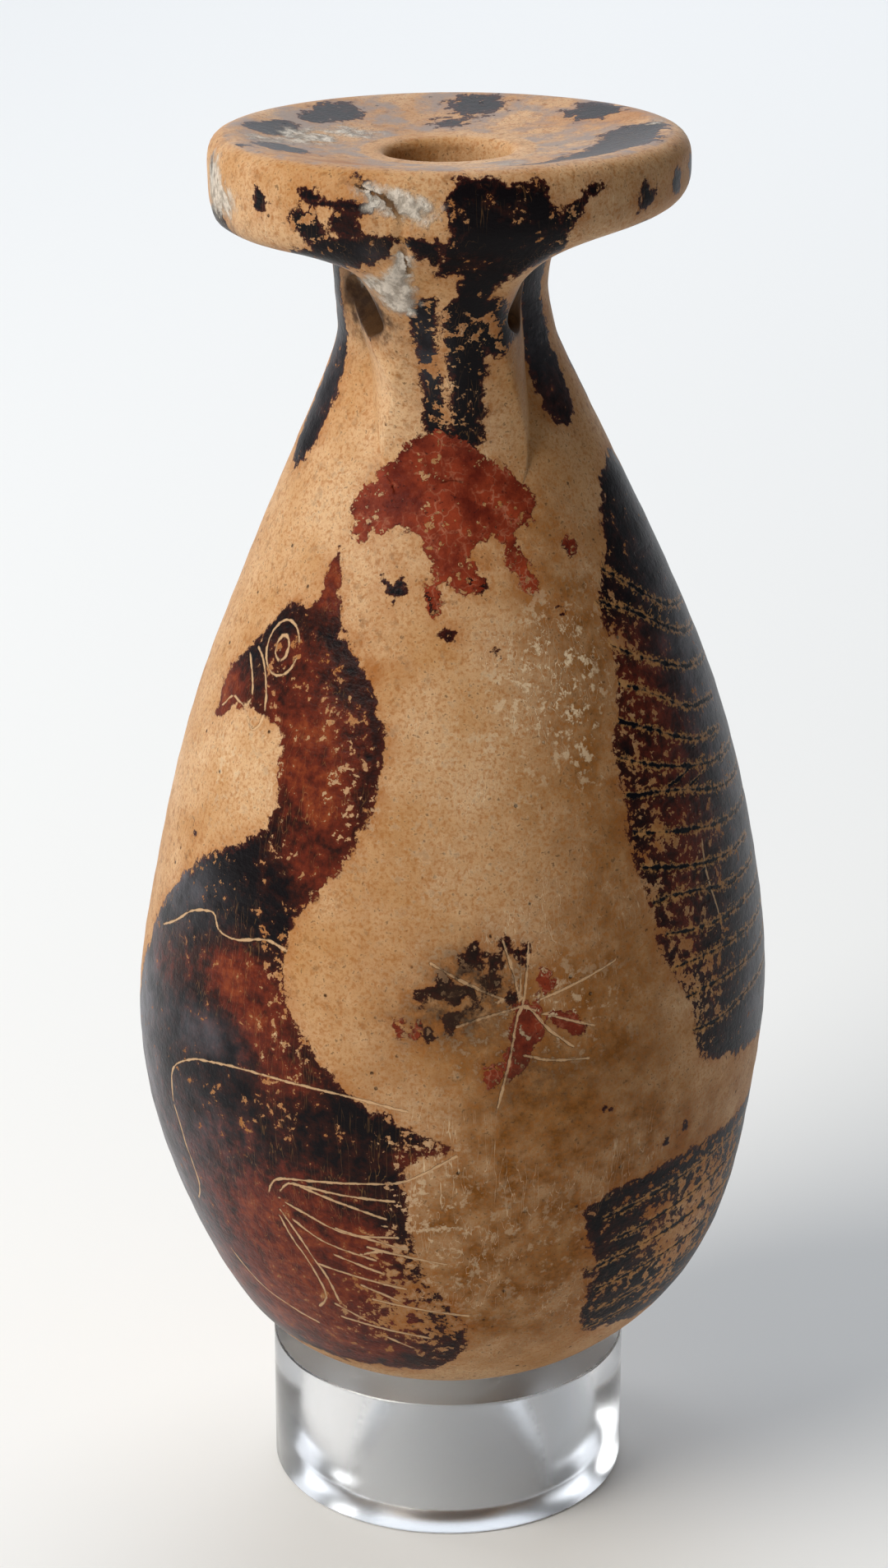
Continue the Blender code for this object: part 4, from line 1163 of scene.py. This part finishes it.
    # The incised lines: for each layer the way to its nearest line, pushed off where it is false.
    offs = []
    for layer in (*CUT_LAYERS, BAR_LAYER):
        cuts = add_node(tree, "ShaderNodeAttribute", attribute_name=layer).outputs["Vector"]
        flat_way = add_node(tree, "ShaderNodeVectorMath", {
            0: cuts, 1: (1.0, 1.0, 0.0)}, operation='MULTIPLY').outputs[0]
        off = add_node(tree, "ShaderNodeVectorMath", {0: flat_way}, operation='LENGTH').outputs["Value"]
        away = add_node(tree, "ShaderNodeSeparateXYZ", {0: cuts}).outputs[2]
        false_place = add_node(tree, MATH, {0: away, 1: 0.5}, operation='GREATER_THAN').outputs[0]
        offs.append(add_node(tree, MATH, {0: off, 1: false_place}, operation='ADD').outputs[0])
    off_line = add_node(tree, MATH, {0: offs[0], 1: offs[1]}, operation='MINIMUM').outputs[0]
    off_line = add_node(tree, MATH, {0: off_line, 1: offs[2]}, operation='MINIMUM').outputs[0]
    wobble = add_node(tree, MATH, {0: flake, 1: 0.32, 2: off_line}, operation='MULTIPLY_ADD').outputs[0]
    line = add_node(tree, RANGE, {
        "Value": wobble, "From Min": 0.22, "From Max": 0.27, "To Min": 1.0, "To Max": 0.0}).outputs[0]
    ragged_bar = add_node(tree, MATH, {0: flake, 1: 1.1, 2: offs[3]}, operation='MULTIPLY_ADD').outputs[0]
    bar = add_node(tree, RANGE, {
        "Value": ragged_bar, "From Min": 0.60, "From Max": 0.70, "To Min": 1.0, "To Max": 0.0}).outputs[0]
    crumbly = add_node(tree, MATH, {0: fine, 1: -1.6, 2: offs[3]}, operation='MULTIPLY_ADD').outputs[0]
    bar_edge = add_node(tree, RANGE, {
        "Value": crumbly, "From Min": -0.62, "From Max": -0.50, "To Min": 0.7, "To Max": 0.0}).outputs[0]

    # Bare clay.
    mottle = add_node(tree, RANGE, {
        "Value": broad, "From Min": 0.35, "From Max": 0.60, "To Min": 0.25, "To Max": 1.0}).outputs[0]
    clay = add_node(tree, MIX, {
        0: mottle, 6: colour(CLAY_DEEP), 7: colour(CLAY_LIGHT)}, data_type='RGBA').outputs[2]
    blotch = add_node(tree, RANGE, {
        "Value": cloudy, "From Min": 0.40, "From Max": 0.62, "To Min": 0.15, "To Max": 1.0}).outputs[0]
    stain = add_node(tree, MATH, {0: stained, 1: blotch}, operation='MULTIPLY').outputs[0]
    clay = add_node(tree, MIX, {0: stain, 6: clay, 7: colour(CLAY_STAIN)}, data_type='RGBA').outputs[2]
    # Toasted clay, partly painted shade on the right and low on the body.
    brown = add_node(tree, RANGE, {
        "Value": cloudy, "From Min": 0.36, "From Max": 0.62, "To Min": 0.50, "To Max": 1.0}).outputs[0]
    brown = add_node(tree, MATH, {0: toasted_and_shaded, 1: brown}, operation='MULTIPLY').outputs[0]
    worn_in = add_node(tree, RANGE, {
        "Value": flake, "From Min": 0.54, "From Max": 0.68, "To Min": 0.0, "To Max": 0.55}).outputs[0]
    brown = add_node(tree, MATH, {0: brown, 1: worn_in}, operation='MAXIMUM').outputs[0]
    clay = add_node(tree, MIX, {0: brown, 6: clay, 7: colour(TOAST_AND_SHADE_BROWN)}, data_type='RGBA').outputs[2]
    near_paint = add_node(tree, MATH, {0: slip_depth, 1: red_depth}, operation='MAXIMUM').outputs[0]
    halo = add_node(tree, RANGE, {
        "Value": near_paint, "From Min": -1.3, "From Max": 0.1, "To Min": 0.0, "To Max": 0.62}).outputs[0]
    halo = add_node(tree, MATH, {0: halo, 1: blotch}, operation='MULTIPLY').outputs[0]
    clay = add_node(tree, MIX, {0: halo, 6: clay, 7: colour(HALO)}, data_type='RGBA').outputs[2]
    pit = add_node(tree, RANGE, {
        "Value": pits, "From Min": 0.07, "From Max": 0.13, "To Min": 1.0, "To Max": 0.0}).outputs[0]
    pit_here = add_node(tree, RANGE, {
        "Value": cloudy, "From Min": 0.52, "From Max": 0.58}).outputs[0]
    pit = add_node(tree, MATH, {0: pit, 1: pit_here}, operation='MULTIPLY').outputs[0]
    grit = add_node(tree, RANGE, {
        "Value": fine, "From Min": 0.34, "From Max": 0.52, "To Min": 0.60, "To Max": 0.0}).outputs[0]
    clay = add_node(tree, MIX, {0: grit, 6: clay, 7: colour(CLAY_STAIN)}, data_type='RGBA').outputs[2]
    pores = add_node(tree, RANGE, {
        "Value": fine, "From Min": 0.61, "From Max": 0.69, "To Min": 0.0, "To Max": 0.60}).outputs[0]
    speck = add_node(tree, MATH, {0: pit, 1: pores}, operation='MAXIMUM').outputs[0]
    clay = add_node(tree, MIX, {0: speck, 6: clay, 7: colour(CLAY_SPECK)}, data_type='RGBA').outputs[2]
    thin = add_node(tree, MATH, {0: scratch, 1: 0.5}, operation='SUBTRACT').outputs[0]
    thin = add_node(tree, MATH, {0: thin}, operation='ABSOLUTE').outputs[0]
    scrape = add_node(tree, RANGE, {
        "Value": thin, "From Min": 0.003, "From Max": 0.012, "To Min": 1.0, "To Max": 0.0}).outputs[0]
    broken = add_node(tree, RANGE, {
        "Value": broad, "From Min": 0.50, "From Max": 0.58}).outputs[0]
    scrape = add_node(tree, MATH, {0: scrape, 1: broken}, operation='MULTIPLY').outputs[0]
    scuff_here = add_node(tree, RANGE, {
        "Value": scuffed, "From Min": 0.0, "From Max": 1.0, "To Min": 0.34, "To Max": 0.9}).outputs[0]
    scrape = add_node(tree, MATH, {0: scrape, 1: scuff_here}, operation='MULTIPLY').outputs[0]
    chalky = add_node(tree, RANGE, {
        "Value": loss_noise, "From Min": 1.14, "From Max": 1.24}).outputs[0]
    chalky = add_node(tree, MATH, {0: chalky, 1: scuffed}, operation='MULTIPLY').outputs[0]
    pale = add_node(tree, MATH, {0: scrape, 1: chalky}, operation='MAXIMUM').outputs[0]
    clay = add_node(tree, MIX, {0: pale, 6: clay, 7: colour(CLAY_PALE)}, data_type='RGBA').outputs[2]
    film = add_node(tree, RANGE, {
        "Value": cloudy, "From Min": 0.44, "From Max": 0.60, "To Min": 0.10, "To Max": 0.75}).outputs[0]
    film = add_node(tree, MATH, {0: film, 1: stained}, operation='SUBTRACT', use_clamp=True).outputs[0]
    film = add_node(tree, MATH, {0: film, 1: on_disc}, operation='MULTIPLY').outputs[0]
    clay = add_node(tree, MIX, {0: film, 6: clay, 7: colour(DISC_FILM)}, data_type='RGBA').outputs[2]

    # Slip, from blue-black through brown to an orange red where it is thin.
    patchy = add_node(tree, MATH, {0: wheel, 1: 0.3, 2: redder}, operation='MULTIPLY_ADD').outputs[0]
    patchy = add_node(tree, MATH, {0: cloudy, 1: 1.7, 2: patchy}, operation='MULTIPLY_ADD').outputs[0]
    patchy = add_node(tree, MATH, {0: flake, 1: 1.8, 2: patchy}, operation='MULTIPLY_ADD').outputs[0]
    warmth = add_node(tree, RANGE, {
        "Value": patchy, "From Min": 2.02, "From Max": 3.25}).outputs[0]
    ramp = add_node(tree, "ShaderNodeValToRGB", {0: warmth})
    ramp.color_ramp.elements[0].color = colour(SLIP_BLACK)
    ramp.color_ramp.elements[1].color = colour(SLIP_ORANGE)
    ramp.color_ramp.elements.new(0.32).color = colour(SLIP_BROWN)
    ramp.color_ramp.elements.new(0.68).color = colour(SLIP_RED)
    dark = ramp.outputs["Color"]
    # Blue-grey bloom, partly the slip's own and partly a painted sheen at the edges.
    bloom_and_sheen = add_node(tree, RANGE, {
        "Value": cloudy, "From Min": 0.36, "From Max": 0.66, "To Min": 0.15, "To Max": 0.75}).outputs[0]
    bloom_and_sheen = add_node(tree, MATH, {0: bloom_and_sheen, 1: bluer_and_sheen}, operation='MULTIPLY').outputs[0]
    dark = add_node(tree, MIX, {0: bloom_and_sheen, 6: dark, 7: colour(SLIP_BLUE_AND_SHEEN)}, data_type='RGBA').outputs[2]
    thin_edge = add_node(tree, RANGE, {
        "Value": slip_edge, "From Min": 0.0, "From Max": 0.35, "To Min": 0.45, "To Max": 0.0}).outputs[0]
    dark = add_node(tree, MIX, {0: thin_edge, 6: dark, 7: colour(SLIP_RED)}, data_type='RGBA').outputs[2]
    rubbed = add_node(tree, MATH, {0: scrape, 1: 0.6}, operation='MULTIPLY').outputs[0]
    dark = add_node(tree, MIX, {0: rubbed, 6: dark, 7: colour(CLAY_DEEP)}, data_type='RGBA').outputs[2]
    uneven = add_node(tree, RANGE, {"Value": cloudy, "From Min": 0.36, "From Max": 0.64}).outputs[0]
    brick = add_node(tree, MIX, {
        0: uneven, 6: colour(RED_DEEP), 7: colour(RED_BRIGHT)}, data_type='RGBA').outputs[2]
    brick = add_node(tree, MIX, {0: vein, 6: brick, 7: colour(RED_VEIN)}, data_type='RGBA').outputs[2]
    brick = add_node(tree, MIX, {0: pores, 6: brick, 7: colour(SLIP_BLACK)}, data_type='RGBA').outputs[2]

    # One over the other.
    # Painted shade in the hollow and on the cord hole's walls.
    clay = add_node(tree, MIX, {
        0: hollow_shade_share, 6: clay, 7: colour(HOLLOW_SHADE_BROWN)}, data_type='RGBA').outputs[2]
    skin_colour = add_node(tree, MIX, {0: slip_on, 6: clay, 7: dark}, data_type='RGBA').outputs[2]
    skin_colour = add_node(tree, MIX, {0: red_on, 6: skin_colour, 7: brick}, data_type='RGBA').outputs[2]
    scored = add_node(tree, MATH, {0: line, 1: 0.8}, operation='MULTIPLY').outputs[0]
    skin_colour = add_node(tree, MIX, {
        0: scored, 6: skin_colour, 7: colour(CLAY_LIGHT)}, data_type='RGBA').outputs[2]
    crumbs_on = add_node(tree, MATH, {0: bar_edge, 1: slip_laid}, operation='MULTIPLY').outputs[0]
    skin_colour = add_node(tree, MIX, {
        0: crumbs_on, 6: skin_colour, 7: colour(CLAY_DEEP)}, data_type='RGBA').outputs[2]
    marked = add_node(tree, MATH, {0: slip_laid, 1: crusted}, operation='MAXIMUM').outputs[0]
    bar_on = add_node(tree, MATH, {0: bar, 1: marked}, operation='MULTIPLY').outputs[0]
    skin_colour = add_node(tree, MIX, {
        0: bar_on, 6: skin_colour, 7: colour(BAR_DARK)}, data_type='RGBA').outputs[2]
    # Grime, and painted shade under the disc's edge, by the cord hole and beside the strap.
    dirt_and_shade = add_node(tree, RANGE, {
        "Value": flake, "From Min": 0.40, "From Max": 0.60, "To Min": 0.35, "To Max": 1.0}).outputs[0]
    dirt_and_shade = add_node(tree, MATH, {0: dirt_and_shade, 1: grimy_and_shaded}, operation='MULTIPLY').outputs[0]
    skin_colour = add_node(tree, MIX, {
        0: dirt_and_shade, 6: skin_colour, 7: colour(GRIME_AND_SHADE_BROWN)}, data_type='RGBA').outputs[2]
    crust_edge = add_node(tree, MATH, {0: cloudy, 1: flake}, operation='ADD').outputs[0]
    crust_edge = add_node(tree, MATH, {0: crust_edge, 1: crusted}, operation='ADD').outputs[0]
    crust_on = add_node(tree, RANGE, {
        "Value": crust_edge, "From Min": 1.26, "From Max": 1.64}).outputs[0]
    crust_on = add_node(tree, MATH, {0: crust_on, 1: bar}, operation='SUBTRACT', use_clamp=True).outputs[0]
    has_crust = add_node(tree, RANGE, {
        "Value": crusted, "From Min": 0.08, "From Max": 0.30}).outputs[0]
    crust_on = add_node(tree, MATH, {0: crust_on, 1: has_crust}, operation='MULTIPLY').outputs[0]
    crust_tone = add_node(tree, RANGE, {
        "Value": flake, "From Min": 0.42, "From Max": 0.58}).outputs[0]
    crust = add_node(tree, MIX, {
        0: crust_tone, 6: colour(CRUST_GREY), 7: colour(CRUST_WHITE)}, data_type='RGBA').outputs[2]
    crust_strength = add_node(tree, MATH, {0: crust_on, 1: 0.85}, operation='MULTIPLY').outputs[0]
    skin_colour = add_node(tree, MIX, {
        0: crust_strength, 6: skin_colour, 7: crust}, data_type='RGBA').outputs[2]
    tree.links.new(skin_colour, shader.inputs["Base Color"])

    # Gloss: burnished clay, satin slip, matt crust.
    gloss = add_node(tree, MIX, {0: slip_on, 2: CLAY_ROUGHNESS, 3: SLIP_ROUGHNESS}).outputs[0]
    gloss = add_node(tree, MATH, {0: fine, 1: 0.10, 2: gloss}, operation='MULTIPLY_ADD').outputs[0]
    gloss = add_node(tree, MIX, {0: crust_on, 2: gloss, 3: CRUST_ROUGHNESS}).outputs[0]
    tree.links.new(gloss, shader.inputs["Roughness"])

    # Relief in mm.
    crumbs = add_node(tree, MATH, {0: crust_on, 1: flake}, operation='MULTIPLY').outputs[0]
    relief = add_node(tree, MATH, {0: slip_on, 1: 0.035}, operation='MULTIPLY').outputs[0]
    for mark, proud in (
        (red_on, 0.05), (line, -0.09), (pit, -0.06), (fine, 0.035), (flake, 0.05),
        (wheel, 0.03), (pale, -0.02), (crumbs, 0.16), (bar_on, -0.05),
    ):
        relief = add_node(tree, MATH, {0: mark, 1: proud, 2: relief}, operation='MULTIPLY_ADD').outputs[0]
    bump = add_node(tree, "ShaderNodeBump", {"Strength": 1.0, "Distance": MM, "Height": relief}).outputs[0]
    tree.links.new(bump, shader.inputs["Normal"])
    shader.inputs["IOR"].default_value = 1.5
    shader.inputs["Specular IOR Level"].default_value = SPECULAR_LEVEL
    return material


flask_mesh.materials.clear()
flask_mesh.materials.append(painted_clay())
for face in flask_mesh.polygons:
    face.material_index = 0
flask_mesh.shade_smooth()
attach(flask, "root")
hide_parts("flask")

# %% [markdown]
# ## The clear ring
#
# The ring is a slice of thick acrylic, turned on a lathe: polished outside, a little dulled in
# the bore, satin on the flat land and the shallow seat, with fine arrises. Its profile is four
# corners and the seat's edge, spun in fine steps, and the arrises are bevelled afterwards.

# %% Make the ring
RING_RADIUS = ring_high.x / MM
RING_HEIGHT = ring_high.z / MM
RING_BORE_RADIUS = 6.8
LAND_WIDTH = 1.9
SEAT_DROP = 0.4
ARRIS = 0.22
RING_STEPS = 192
# Two points of the ring count as level, or equally far out, within this, in mm.
SAME_MM = 0.001
ACRYLIC_TINT, ACRYLIC_IOR = '#fbfdff', 1.49


def ring_mesh():
    """Spin the ring's section, then round its arrises."""
    corners = (
        (RING_BORE_RADIUS, 0.0), (RING_RADIUS, 0.0), (RING_RADIUS, RING_HEIGHT),
        (RING_RADIUS - LAND_WIDTH, RING_HEIGHT), (RING_BORE_RADIUS, RING_HEIGHT - SEAT_DROP),
    )
    form = bmesh.new()
    verts = [form.verts.new((radius * MM, 0.0, height * MM)) for radius, height in corners]
    edges = [form.edges.new(pair) for pair in zip(verts, verts[1:] + verts[:1])]
    bmesh.ops.spin(
        form, geom=verts + edges, cent=(0.0, 0.0, 0.0), axis=(0.0, 0.0, 1.0),
        angle=2.0 * math.pi, steps=RING_STEPS, use_merge=True,
    )
    bmesh.ops.remove_doubles(form, verts=form.verts, dist=SAME_MM * MM)
    bmesh.ops.recalc_face_normals(form, faces=form.faces)
    arrises = []
    for edge in form.edges:
        one, other = edge.verts
        level = abs(one.co.z - other.co.z) < SAME_MM * MM
        same_radius = abs(one.co.xy.length - other.co.xy.length) < SAME_MM * MM
        if level and same_radius and edge.calc_face_angle(0.0) > math.radians(40.0):
            arrises.append(edge)
    bmesh.ops.bevel(
        form, geom=arrises, offset=ARRIS * MM, segments=3, profile=0.5, affect='EDGES', material=-1,
    )
    for face in form.faces:
        middle = face.calc_center_median()
        turned_top = face.normal.z > 0.9 and middle.z > RING_HEIGHT * 0.5 * MM
        bored = middle.xy.length < (RING_BORE_RADIUS + 0.1) * MM
        face.material_index = 1 if turned_top else 2 if bored else 0
    mesh = bpy.data.meshes.new("clear ring")
    form.to_mesh(mesh)
    form.free()
    mesh.shade_smooth()
    mesh.set_sharp_from_angle(angle=math.radians(30.0))
    return mesh


def acrylic(name, roughness, tool_marks):
    """Clear cast acrylic: how dull it is, and the depth of the tool's marks in mm."""
    material = bpy.data.materials.new(name)
    material.use_nodes = True
    tree = material.node_tree
    shader = tree.nodes["Principled BSDF"]
    shader.inputs["Base Color"].default_value = colour(ACRYLIC_TINT)
    shader.inputs["IOR"].default_value = ACRYLIC_IOR
    shader.inputs["Transmission Weight"].default_value = 1.0
    shader.inputs["Roughness"].default_value = roughness
    place = add_node(tree, "ShaderNodeTexCoord").outputs["Object"]
    scratched = add_node(tree, "ShaderNodeMapping", {
        "Vector": place, "Rotation": (0.4, 0.3, 0.8), "Scale": (1.0, 0.08, 1.0)}).outputs[0]
    marks = add_node(tree, NOISE, {
        "Vector": scratched, "Scale": grain(0.5), "Detail": 2.0}).outputs["Fac"]
    bump = add_node(tree, "ShaderNodeBump", {
        "Strength": 1.0, "Distance": tool_marks * MM, "Height": marks}).outputs[0]
    tree.links.new(bump, shader.inputs["Normal"])
    return material


clear_mesh = ring_mesh()
clear_mesh.materials.append(acrylic("polished cast acrylic", 0.14, 0.002))
clear_mesh.materials.append(acrylic("cast acrylic, turned satin", 0.38, 0.01))
clear_mesh.materials.append(acrylic("cast acrylic, bored and dulled", 0.26, 0.01))
clear_ring = bpy.data.objects.new("clear_ring", clear_mesh)
bpy.context.scene.collection.objects.link(clear_ring)
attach(clear_ring, "root")
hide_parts("ring_stand")
print("ring:", len(clear_mesh.polygons), "faces")
